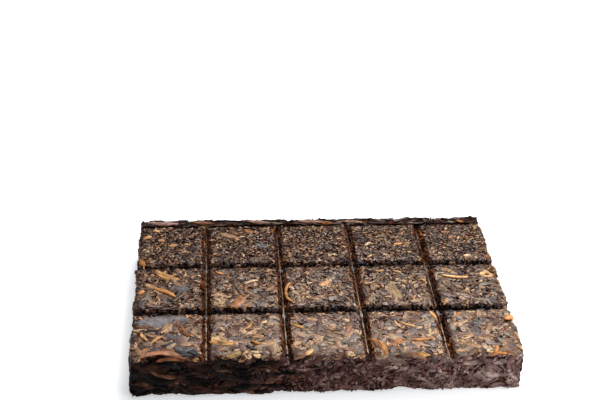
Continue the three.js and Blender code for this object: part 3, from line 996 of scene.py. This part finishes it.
def add(tree, kind, links=None, inputs=None, stops=None, **settings):
    """Adds a node with its settings, input values and links, and its colour stops if it is a ramp."""
    node = tree.nodes.new("ShaderNode" + kind)
    for key, value in settings.items():
        setattr(node, key, value)
    for key, value in (inputs or {}).items():
        node.inputs[key].default_value = value
    for key, source in (links or {}).items():
        tree.links.new(source, node.inputs[key])
    if stops:
        ramp = node.color_ramp
        ramp.elements.remove(ramp.elements[1])
        ramp.elements[0].position = stops[0][0]
        ramp.elements[0].color = linear(stops[0][1])
        for place, colour in stops[1:]:
            ramp.elements.new(place).color = linear(colour)
    return node


def new_finish(name):
    finish = bpy.data.materials.new(name)
    finish.use_nodes = True
    return finish, finish.node_tree, finish.node_tree.nodes["Principled BSDF"]


# %% The finish of a pressed leaf
FIBRE_SPACING = 0.45  # mm, coarser than a real leaf's so that it shows
FIBRE_LENGTH = 4.0
PATCH = 9 * MM
NOISE_MIDDLE = (0.3, 0.7)  # most values of a noise lie in this range
RIM_TO_TOP = (0.05, 0.75)


def leaf_finish(
    name,
    stops,
    roughness,
    rim_shade=0.15,
    fibre_contrast=0.45,
    drift=0.12,
    gloss=0.5,
    patch_size=PATCH,
    blotch=0.25,
):
    """Leaf with a waxy skin. stops colour it by tint, and roughness is a range over the leaves. drift is how
    far the tint shifts from patch to patch, and blotch how far the brightness does. rim_shade is painted
    shade:
    the colour and reflection at a leaf's lower rim, and on leaves that lie low, are darkened down to it."""
    finish, tree, skin = new_finish(name)
    tint, rise, fibre = (add(tree, "Attribute", attribute_name=key) for key in ("tint", "rise", "fibre"))
    place = add(tree, "TexCoord")
    spacing = (1 / FIBRE_LENGTH, 1 / FIBRE_SPACING, 1)
    strands = add(tree, "Mapping", {"Vector": fibre.outputs["Vector"]}, {"Scale": spacing})
    streak = add(tree, "TexNoise", {"Vector": strands.outputs["Vector"]}, {"Scale": 1.0, "Detail": 3.0})
    clouds = {"Scale": 1 / patch_size, "Detail": 2.0}
    patch = add(tree, "TexNoise", {"Vector": place.outputs["Object"]}, clouds)
    own = add(tree, "TexWhiteNoise", {"W": tint.outputs["Fac"]}, noise_dimensions="1D")
    ranged = {}
    for key, source, before, after in (
        ("drift", patch.outputs["Fac"], NOISE_MIDDLE, (-drift, drift)),
        ("streak", streak.outputs["Fac"], NOISE_MIDDLE, (1 - fibre_contrast, 1 + fibre_contrast)),
        ("patch", patch.outputs["Fac"], NOISE_MIDDLE, (1 - blotch, 1 + blotch)),
        # painted shade at the leaf's lower rim and on leaves that lie low
        ("rim", rise.outputs["Fac"], RIM_TO_TOP, (rim_shade, 1.0)),
        ("polish", own.outputs["Value"], (0.0, 1.0), roughness),
    ):
        limits = {"From Min": before[0], "From Max": before[1], "To Min": after[0], "To Max": after[1]}
        ranged[key] = add(tree, "MapRange", {"Value": source}, limits).outputs["Result"]
    tone = add(tree, "Math", {0: tint.outputs["Fac"], 1: ranged["drift"]})
    colour = add(tree, "ValToRGB", {"Fac": tone.outputs["Value"]}, stops=stops)
    shade = add(tree, "Math", {0: ranged["streak"], 1: ranged["patch"]}, operation="MULTIPLY")
    shade = add(tree, "Math", {0: shade.outputs["Value"], 1: ranged["rim"]}, operation="MULTIPLY")
    both = {"Color": colour.outputs["Color"], "Value": shade.outputs["Value"]}
    shaded = add(tree, "HueSaturation", both)
    shine = add(tree, "Math", {0: ranged["rim"]}, {1: gloss}, operation="MULTIPLY")
    bump = add(tree, "Bump", {"Height": streak.outputs["Fac"]}, {"Strength": 0.7, "Distance": 0.2 * MM})
    tree.links.new(shaded.outputs["Color"], skin.inputs["Base Color"])
    tree.links.new(ranged["polish"], skin.inputs["Roughness"])
    tree.links.new(shine.outputs["Value"], skin.inputs["Specular IOR Level"])
    tree.links.new(bump.outputs["Normal"], skin.inputs["Normal"])
    skin.inputs["IOR"].default_value = 1.5
    return finish


# %% A finish for each kind of leaf
ripe_leaf = leaf_finish(
    "pressed ripe leaf",
    [
        # The grey stop at 0.56 is partly the leaf's own colour and partly painted sheen.
        (0.0, "#331407"), (0.18, "#4c2611"), (0.36, "#603923"), (0.47, "#6b4938"), (0.56, "#696058"),
        (0.64, "#79654a"), (0.73, "#845a3e"), (0.83, "#94704e"), (0.9, "#9a6c44"), (0.96, "#ae9070"),
        (1.0, "#b8966c"),
    ],
    (0.3, 0.6),
    rim_shade=0.24,
    gloss=0.4,
)
golden_tip = leaf_finish(
    "golden leaf tip", [(0.0, "#74462a"), (0.4, "#966239"), (0.75, "#b5824a"), (1.0, "#d0a570")], (0.35, 0.6)
)
side_leaf = leaf_finish(
    "leaf edge in layers",
    [
        (0.0, "#0c0403"), (0.2, "#1e0c08"), (0.45, "#42251f"), (0.65, "#58403c"), (0.82, "#6b5752"),
        (0.93, "#7e6c66"), (1.0, "#967e70"),
    ],
    (0.5, 0.75),
    rim_shade=0.5,
    drift=0.14,
    gloss=0.16,
    patch_size=5 * MM,
    blotch=0.35,
)
# Near-black stops and a strong rim shade: partly the dark leaves' own colour, partly painted shade at the
# front's left end.
corner_leaf = leaf_finish(
    "dark folded leaf",
    [(0.0, "#030101"), (0.42, "#140705"), (0.7, "#3a1e14"), (0.9, "#62402f"), (1.0, "#846250")],
    (0.45, 0.65),
    rim_shade=0.04,
    fibre_contrast=0.7,
    gloss=0.14,
    patch_size=4 * MM,
    blotch=0.5,
)
wall_leaf = leaf_finish(
    "leaf rubbed by the mould",
    [(0.0, "#2c1006"), (0.4, "#4e250f"), (0.75, "#643418"), (0.92, "#824c25"), (1.0, "#ac7038")],
    (0.35, 0.55),
    rim_shade=0.5,
    gloss=0.2,
)
# Pale stops: painted sheen on the polished groove floor.
groove_leaf = leaf_finish(
    "smooth groove leaf with painted sheen",
    [(0.0, "#22140c"), (0.3, "#6c5a48"), (0.7, "#a69480"), (1.0, "#c8b8a6")],
    (0.45, 0.6),
    rim_shade=0.85,
    fibre_contrast=0.35,
    drift=0.0,
)
# Near-black stops: the crumbs' own dark colour, darkened further as painted shade on walls that face away
# from the light.
shaded_leaf = leaf_finish(
    "crumbled leaf in painted shade",
    [(0.0, "#120907"), (0.35, "#2c1f1f"), (0.6, "#443638"), (0.8, "#664c3e"), (1.0, "#94705a")],
    (0.25, 0.5),
    rim_shade=0.1,
    blotch=0.4,
)
marked_leaf = leaf_finish(
    "leaf that stands out",
    [
        (BLACK, "#120c0b"), (SLATE, "#5c5654"), (LILAC, "#827a7c"), (DARK_RED, "#41200f"),
        (RED_BROWN, "#824826"), (PINK_BROWN, "#9a6240"), (PALE_PINK, "#b08a7a"), (AMBER, "#a4622a"),
        (ORANGE, "#cf8845"), (OLIVE, "#a0804e"), (TAN, "#b88c62"), (GOLD, "#dc9f5a"), (CREAM, "#e2ba8e"),
    ],
    (0.35, 0.55),
    rim_shade=0.3,
    fibre_contrast=0.5,
    drift=0.0,
    gloss=0.38,
    patch_size=2.4 * MM,
    blotch=0.4,
)
print(len(bpy.data.materials), "finishes")

# %% [markdown]
# ## The core's own finish
#
# Between the leaves the core shows as fine dark crumbs. Its relief is pressed into the mesh, lumps first and
# then grains the size of crumbs, nearly all of it inwards, so that the leaves on it stay proud. Its colour
# comes from cells of the same size, each with a random shade.

# %% Press crumbs into the core
LUMP = 3.2 * MM
GRAIN = 1.3 * MM
FACES_KEPT = 0.42

lumps = bpy.data.textures.new("lumps", "CLOUDS")
lumps.noise_scale = LUMP
lumps.noise_depth = 1
grains = bpy.data.textures.new("grains", "VORONOI")
grains.noise_scale = GRAIN
apply_modifier(core, "DISPLACE", texture=lumps, texture_coords="LOCAL", strength=0.5 * MM, mid_level=0.9)
apply_modifier(core, "DISPLACE", texture=grains, texture_coords="LOCAL", strength=0.45 * MM, mid_level=0.95)
sunk = points_of(core.data)
sunk[:, 2] = np.maximum(sunk[:, 2], LOWEST)
set_points(core.data, leave_crumb_out(sunk))
apply_modifier(core, "DECIMATE", ratio=FACES_KEPT)
bpy.ops.object.shade_smooth()
print("core spans", [round(v, 2) for v in (sunk.max(0) - sunk.min(0)) / MM], "mm")

# %% Colour the core
crumb_finish, tree, skin = new_finish("dark crumbs")
place = add(tree, "TexCoord")
cells = add(tree, "TexVoronoi", {"Vector": place.outputs["Object"]}, {"Scale": 1 / GRAIN, "Randomness": 1.0})
split = add(tree, "SeparateColor", {"Color": cells.outputs["Color"]})
crumb_stops = [(0.0, "#120502"), (0.5, "#2a1006"), (0.85, "#401e10"), (1.0, "#58321e")]
colour = add(tree, "ValToRGB", {"Fac": split.outputs["Red"]}, stops=crumb_stops)
bump = add(tree, "Bump", {"Height": cells.outputs["Distance"]}, {"Strength": 0.6, "Distance": 0.2 * MM})
tree.links.new(colour.outputs["Color"], skin.inputs["Base Color"])
tree.links.new(bump.outputs["Normal"], skin.inputs["Normal"])
skin.inputs["Roughness"].default_value = 0.75
skin.inputs["Specular IOR Level"].default_value = 0.08
core.data.materials.append(crumb_finish)

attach(core, "root")
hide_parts("tea_brick")
print("core finished as", crumb_finish.name)

# %% [markdown]
# ## Leaves on the squares
#
# Rolled leaves, curls, ribbed leaves, broad pieces and flakes are spread evenly, each kind by itself, and
# chips fill in between them. The front row has the largest leaves, and towards the back the leaf is finer, so
# the sizes follow the row. The tints get darker to the back and to the left end: painted shade, for less
# light there.

# %% Spread leaves over the squares
LEAN = 0.7
# Painted shade: the tints darken towards the back rows and towards the left end.
DARKER_BACK = 0.6
DARKER_LEFT = 0.75
DARK_LEFT_WIDTH = 1.3 * SQUARE_X
PATCHINESS = 0.6
PATCH_WAVES = ((0.37, 0.21, 0.8), (0.29, -0.47, 2.0), (0.55, 0.83, 0.0), (0.91, -0.33, 4.0))
CURL_MARGIN = 3 * MM
ON_SQUARES = REGION["top"] | REGION["shoulder"]
INNER_TOP = REGION["top"] & (from_side > CURL_MARGIN)


def patchiness(places):
    """Waves over the brick, from -1 to 1. The leaf is paler in some patches and darker in others."""
    across, back = places[:, 0] / MM, places[:, 1] / MM
    return sum(np.sin(a * across + b * back + start) for a, b, start in PATCH_WAVES) / len(PATCH_WAVES)


def draw_tints(places, normals, top=1.0):
    """Tints up to a top value. They are darker to the back and to the left as painted shade, and vary in
    patches.
    """
    to_left = np.clip(1 - (places[:, 0] - LEFT) / DARK_LEFT_WIDTH, 0, 1)
    lean = LEAN + DARKER_BACK * row_share(places) + DARKER_LEFT * to_left - PATCHINESS * patchiness(places)
    return top * rng.random(len(places)) ** np.maximum(lean, 0.2)


def thin_out(places, normals, front_share, back_share):
    """Keeps a share of the places that changes from the front row to the last."""
    share = front_share + (back_share - front_share) * row_share(places)
    keep = rng.random(len(places)) < share
    return places[keep], normals[keep]


# title, shapes, count, spacing, shares kept, size, lift, bend, tilt, how much smaller at the back
TOP_KINDS = [
    ("rolled", rolled_leaves, 1100, 2.0, (0.5, 1.0),
     ((4, 10), (0.9, 1.8), (0.5, 0.9)), (-0.5, -0.15), 0.16, 0.03, 0.5),
    ("curls", curls, 170, 3.7, (0.8, 0.7),
     ((2.5, 5), (1.0, 2.2), (0.4, 0.7)), (-0.4, -0.05), 0.0, 0.03, 0.35),
    ("ribbed", ribbed_leaves, 1100, 2.7, (1.0, 0.8),
     ((5, 11), (2.2, 4.4), (0.4, 0.8)), (-0.5, -0.15), 0.1, 0.03, 0.5),
    ("broad", flakes + chips, 2100, 1.9, (1.0, 0.6),
     ((3, 7), (1.8, 3.8), (0.2, 0.3)), (-0.1, 0.15), 0.12, 0.05, 0.5),
    ("flakes", flakes + chips, 3400, 1.2, (0.35, 1.0),
     ((1.6, 4.2), (0.6, 1.4), (0.3, 0.6)), (-0.3, 0.1), 0.18, 0.12, 0.3),
]
laid = {}
for title, shapes, count, spacing, shares, *how in TOP_KINDS:
    region = INNER_TOP if title == "curls" else ON_SQUARES
    places, normals = thin_out(*pick_places(region, count, spacing * MM), *shares)
    tints = draw_tints(places, normals)
    leaves = draw_leaves(places, normals, any_way(places, normals), tints, *how)
    laid[title] = lay_leaves(shapes, leaves, cut=True)
    print(title, len(places))

join_leaves("broad_leaves", laid["ribbed"] + laid["broad"], ripe_leaf)
join_leaves("rolled_leaves", laid["rolled"] + laid["curls"], ripe_leaf)
join_leaves("leaf_flakes", laid["flakes"], ripe_leaf)

# %% Fill in with chips
CHIP_SIZE = ((0.8, 2.4), (0.4, 1.0), (0.4, 0.9))

places, normals = thin_out(*pick_places(ON_SQUARES, 7500, 0.75 * MM), 0.12, 1.0)
angles = any_way(places, normals)
tints = draw_tints(places, normals, top=0.9)
leaves = draw_leaves(places, normals, angles, tints, CHIP_SIZE, (-0.45, 0.05), 0.0, 0.2)
join_leaves("leaf_chips", lay_leaves(chips + crumbs, leaves, cut=True), ripe_leaf, smooth_below=20)

# %% [markdown]
# ## Golden tips and stalks
#
# Buds stay golden when the leaf round them turns black. They are slender and slightly curved. Bits of stalk
# are straight, and brown to tan. The press has sunk both part of the way into the leaf round them.

# %% Lay tips and stalks
COLUMN_WALL = REGION["wall"] & (np.abs(face_normal[:, 0]) > np.abs(face_normal[:, 1]))
TIP_SIZE = ((2.5, 6), (0.9, 1.8), (0.5, 0.9))
SPECK_SIZE = ((0.9, 2.6), (0.6, 1.3), (0.3, 0.6))
STALK_SIZE = ((3, 7), (0.5, 0.9), (0.5, 0.8))


def gather(centres, normals, each, reach):
    """Several places round each centre, because torn tips lie in groups."""
    which = np.repeat(np.arange(len(centres)), rng.integers(*each, len(centres)))
    places = centres[which]
    places[:, :2] += rng.normal(0, reach, (len(which), 2))
    return places, normals[which]


tips = scatter(ON_SQUARES, 130, 4, any_way, random_tints(1.4), TIP_SIZE, (-0.2, 0.1), 0.16, 0.03, 0.3)
places, normals = gather(*pick_places(ON_SQUARES, 90, 5 * MM), (2, 8), 1.9 * MM)
angles = any_way(places, normals)
tints = rng.random(len(places))
specks = draw_leaves(places, normals, angles, tints, SPECK_SIZE, (-0.1, 0.15), 0.1, 0.1)
wall_specks = scatter(COLUMN_WALL, 70, 2, any_way, random_tints(top=0.5), SPECK_SIZE, (-0.1, 0.1), 0.1, 0.1)
golden_batches = lay_leaves(rolled_leaves, tips, cut=True) + lay_leaves(flakes, specks, cut=True)
join_leaves("golden_tips", golden_batches + lay_leaves(flakes, wall_specks), golden_tip)

places, normals = pick_places(REGION["top"], 60, 6 * MM)
angles = any_way(places, normals)
tints = rng.uniform(0.1, 0.9, len(places))
leaves = draw_leaves(places, normals, angles, tints, STALK_SIZE, (-0.3, 0.0), 0.05)
join_leaves("stalk_bits", lay_leaves(stalks, leaves, cut=True), ripe_leaf)

# %% [markdown]
# ## Grooves
#
# The mould's ridges slide along the walls between columns, so the leaf there is combed along the groove,
# smooth, dark red-brown and glossy, and the floor is one narrow polished line. Its pale grey is painted
# sheen, and it darkens to the back as painted shade. Between the rows the walls broke open when the mould
# came off, so they show dark crumbs, near black partly as painted shade.

# %% Comb leaves along the grooves
ROW_WALL = REGION["wall"] & ~COLUMN_WALL
WALL_SIZE = ((2, 6), (0.6, 1.4), (0.2, 0.4))
ROW_SIZE = ((1.5, 4), (0.9, 2.2), (0.4, 0.9))
FLOOR_SIZE = ((4, 8), (1.4, 1.9), (0.3, 0.4))
FLOOR_STEP = 2.5 * MM
FIRST_FLOOR_LEAF = FRONT + 3 * MM
LEVEL = 0.87  # the height of a place's normal above which it is on a floor


def between_columns(places):
    """True where a place is in a groove between columns."""
    return np.min([np.abs(places[:, 0] - middle) for middle in column_grooves], axis=0) < GROOVE_X / 2


def combed(spread):
    """Headings near the groove's own. On a wall, level already runs with the groove."""

    def angles(places, normals):
        crossing = (normals[:, 2] > LEVEL) & between_columns(places)
        return np.where(crossing, math.pi / 2, 0.0) + rng.normal(0, spread, len(places))

    return angles


def wall_tints(places, normals):
    """The walls that face left, away from the light, get darker tints: painted shade."""
    return 0.95 * rng.random(len(places)) ** np.where(normals[:, 0] < -0.3, 1.9, 1.15)


def row_tints(places, normals):
    """The walls of the back groove are paler."""
    return rng.random(len(places)) ** np.where(places[:, 1] > 0, 0.4, 1.0)


leaves = scatter(COLUMN_WALL, 950, 1.0, combed(0.35), wall_tints, WALL_SIZE, (-0.2, 0.05), 0.08, 0.04)
bits = scatter(COLUMN_WALL, 1000, 0.95, any_way, wall_tints, CHIP_SIZE, (-0.45, -0.05), 0.0, 0.1)
join_leaves("column_walls", lay_leaves(flakes, leaves) + lay_leaves(chips + crumbs, bits), wall_leaf)

# Row walls take the near-black finish: painted shade over the crumbs' own colour.
leaves = scatter(ROW_WALL, 620, 1.5, any_way, row_tints, ROW_SIZE, (-0.5, 0.1), 0.1, 0.15)
bits = scatter(ROW_WALL, 1200, 1.0, any_way, row_tints, CHIP_SIZE, (-0.5, 0.0), 0.0, 0.2)
join_leaves("row_walls", lay_leaves(flakes, leaves) + lay_leaves(chips + crumbs, bits), shaded_leaf)

floor_places = []
for middle in column_grooves:
    for y in np.arange(FIRST_FLOOR_LEAF, LAST_ROW_END, FLOOR_STEP):
        floor_places.append((middle + rng.normal(0, 0.12) * MM, y + rng.uniform(-1, 1) * MM, GROOVE_Z))
places = np.array(floor_places)
normals = np.tile([0.0, 0.0, 1.0], (len(places), 1))
angles = math.pi / 2 + rng.normal(0, 0.03, len(places))
# Pale tints as painted sheen, darkened to the back as painted shade.
tints = rng.uniform(0.35, 0.85, len(places)) * (1 - 0.9 * row_share(places))
leaves = draw_leaves(places, normals, angles, tints, FLOOR_SIZE, (0.15, 0.3), 0.01, 0.01)
join_leaves("groove_floors", lay_leaves(flakes, leaves), groove_leaf)

COLUMN_FLOOR = REGION["groove_floor"] & between_columns(face_centre)
ROW_FLOOR = REGION["groove_floor"] & ~between_columns(face_centre)
FLOORS = (("column_floors", COLUMN_FLOOR, wall_leaf), ("row_floors", ROW_FLOOR, shaded_leaf))
for name, region, finish in FLOORS:
    tints = random_tints(top=0.8)
    leaves = scatter(region, 300, 1.1, combed(0.5), tints, WALL_SIZE, (-0.35, -0.1), 0.05, 0.04)
    join_leaves(name, lay_leaves(flakes, leaves), finish)

# %% [markdown]
# ## Rim
#
# Behind the last row the leaf lies along the edge, long and narrow, because the mould's wall lined it up.

# %% Lay leaves along the rim
RIM_MIDDLE = -FRONT - RIM_Y / 2
# The back half of the rim gets darker tints: painted shade.
RIM_TOPS = (0.5, 0.9)  # the palest tint behind the rim's middle line and in front of it

# name, finish, count, spacing, turn, lean, (length, width, thickness), lift
RIM_KINDS = [
    ("rim_leaves", side_leaf, 220, 1.8, 0.4, 1.0, ((3, 9), (0.8, 2.0), (0.5, 1.2)), (-1.1, -0.3)),
    ("brown_rim_leaves", ripe_leaf, 90, 3.0, 0.3, 1.3, ((3, 9), (0.9, 1.8), (0.6, 1.2)), (-0.7, -0.1)),
]
for name, finish, count, spacing, turn, lean, size, lift in RIM_KINDS:
    places, normals = pick_places(REGION["rim"], count, spacing * MM)
    angles = rng.normal(0, turn, len(places))
    tints = rng.random(len(places)) ** lean * np.where(places[:, 1] > RIM_MIDDLE, *RIM_TOPS)
    leaves = draw_leaves(places, normals, angles, tints, size, lift, 0.04, 0.03)
    join_leaves(name, lay_leaves(rolled_leaves + ribbed_leaves, leaves, cut=True), finish)

# %% [markdown]
# ## Sides
#
# A side shows the leaf edge on, in layers: most pieces run level, a few stand across them, and crumbs fill
# the gaps. The colour is nearly black with reddish pieces. All four sides are made the same way, but the
# front has large dark folded leaves at its left end, and its tints run from near black at the left end to
# pale
# at the right end: painted shade and painted light.

# %% Lay leaves in the sides
# name, shapes, count, spacing, turn, (length, width, thickness), lift
SIDE_KINDS = [
    ("side_leaves", ribbed_leaves + rolled_leaves, 420, 2.8, 0.45,
     ((4, 11), (1.2, 2.8), (0.5, 0.9)), (-0.7, -0.2)),
    ("side_flakes", flakes + chips, 2200, 1.3, 0.8, ((1.6, 4.6), (0.9, 2.0), (0.2, 0.4)), (-0.4, -0.05)),
    ("side_chips", chips + crumbs, 2900, 0.95, 1.5, ((0.8, 2.2), (0.5, 1.1), (0.4, 0.8)), (-0.6, -0.15)),
]


def side_tints(places, normals):
    """The front is nearly black at its left end and paler at its right end: painted shade at the left and
    painted light at the right, for light that falls from the right. The other sides lie between.
    """
    along = np.where(places[:, 1] < FRONT + 3 * MM, places[:, 0] / WIDTH + 0.5, 0.6)
    highest = np.interp(along, [0, 0.35, 0.7, 1], [0.27, 0.67, 0.87, 0.92])
    spread = np.interp(along, [0, 0.5, 1], [1.0, 0.68, 0.36])
    lean = np.interp(along, [0, 0.3, 0.7, 1], [0.4, 0.7, 0.85, 1.0])
    return highest * (1 - spread * rng.random(len(places)) ** lean)


for name, shapes, count, spacing, turn, size, lift in SIDE_KINDS:
    leaves = scatter(REGION["side"], count, spacing, turned(turn), side_tints, size, lift, 0.1, 0.05)
    join_leaves(name, lay_leaves(shapes, leaves), side_leaf)

# %% Large dark leaves in the front left corner
# These leaves are dark partly of themselves and partly as painted shade at this end.
CORNER = (-20 * MM, FRONT + 8 * MM, 15 * MM)
CORNER_SIZE = ((6, 14), (1.4, 3.0), (0.8, 1.4))

in_corner = REGION["side"] & (face_centre < CORNER).all(axis=1)
angles = turned(0.3, middle=-0.1)
leaves = scatter(in_corner, 80, 3.2, angles, random_tints(1.1), CORNER_SIZE, (-0.8, 0.0), 0.12, 0.05)
join_leaves("corner_leaves", lay_leaves([folded_leaf, flat_leaf], leaves), corner_leaf)

# %% [markdown]
# ## Underside
#
# The underside lay on the flat plate of the press. Its leaves are broad and flush, and none reaches below it.

# %% Lay leaves in the underside
# shapes, count, spacing, (length, width, thickness), lift
UNDER_KINDS = [
    (ribbed_leaves + flakes, 450, 4.0, ((5, 11), (2.0, 4.2), (0.25, 0.4)), (-0.62, -0.42)),
    (flakes + chips, 1700, 2.0, ((2.5, 6), (1.4, 3.0), (0.2, 0.35)), (-0.6, -0.38)),
]
under_batches = []
for shapes, count, spacing, size, lift in UNDER_KINDS:
    places, normals = pick_places(REGION["underside"], count, spacing * MM)
    tints = 0.85 * rng.random(len(places))
    leaves = draw_leaves(places, normals, any_way(places, normals), tints, size, lift, 0.1, 0.0)
    under_batches += lay_leaves(shapes, leaves)
join_leaves("underside_leaves", under_batches, ripe_leaf)

# %% [markdown]
# ## Broken leaf in the back groove
#
# The groove in front of the last row is half filled with broken leaf, so it is a faint line with gaps in it
# and not a clean dark one.

# %% Fill the back groove
FILL_SIZE = ((1.6, 4.2), (1.0, 2.4), (0.7, 1.5))

back_groove = ROW_FLOOR & (np.abs(face_centre[:, 1] - row_grooves[1]) < GROOVE_Y / 2)
places, normals = pick_places(back_groove, 300, 1.2 * MM)
tints = rng.uniform(0.5, 1.0, len(places))
leaves = draw_leaves(places, normals, any_way(places, normals), tints, FILL_SIZE, (0.0, 0.9), 0.1, 0.1)
join_leaves("groove_fill", lay_leaves(flakes + crumbs, leaves), shaded_leaf)

# %% Lay the leaves that stand out
marked_batches = []
for shape, x, y, heading, *sizes, bend, tint in MARKED:
    leaf = {key: np.array([size]) * MM for key, size in zip(("length", "width", "thick", "base"), sizes)}
    leaf["place"] = np.array([[x, y, THICKNESS / MM]]) * MM
    leaf["normal"] = np.array([[0.0, 0.0, 1.0]])
    leaf["angle"] = np.array([math.radians(heading)])
    leaf["bend"] = np.array([bend])
    leaf["slope"] = np.zeros((1, 2))
    leaf["tint"] = np.array([tint])
    leaf["version"] = np.zeros(1, int)
    marked_batches += lay_leaves([shape], leaf)
join_leaves("marked_leaves", marked_batches, marked_leaf)

# %% Measure and finish
new_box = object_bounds()
sizes = {"cad": [list(c) for c in cad_box], "visual": [list(c) for c in new_box]}
print("box", [[round(v / MM, 2) for v in c] for c in new_box])
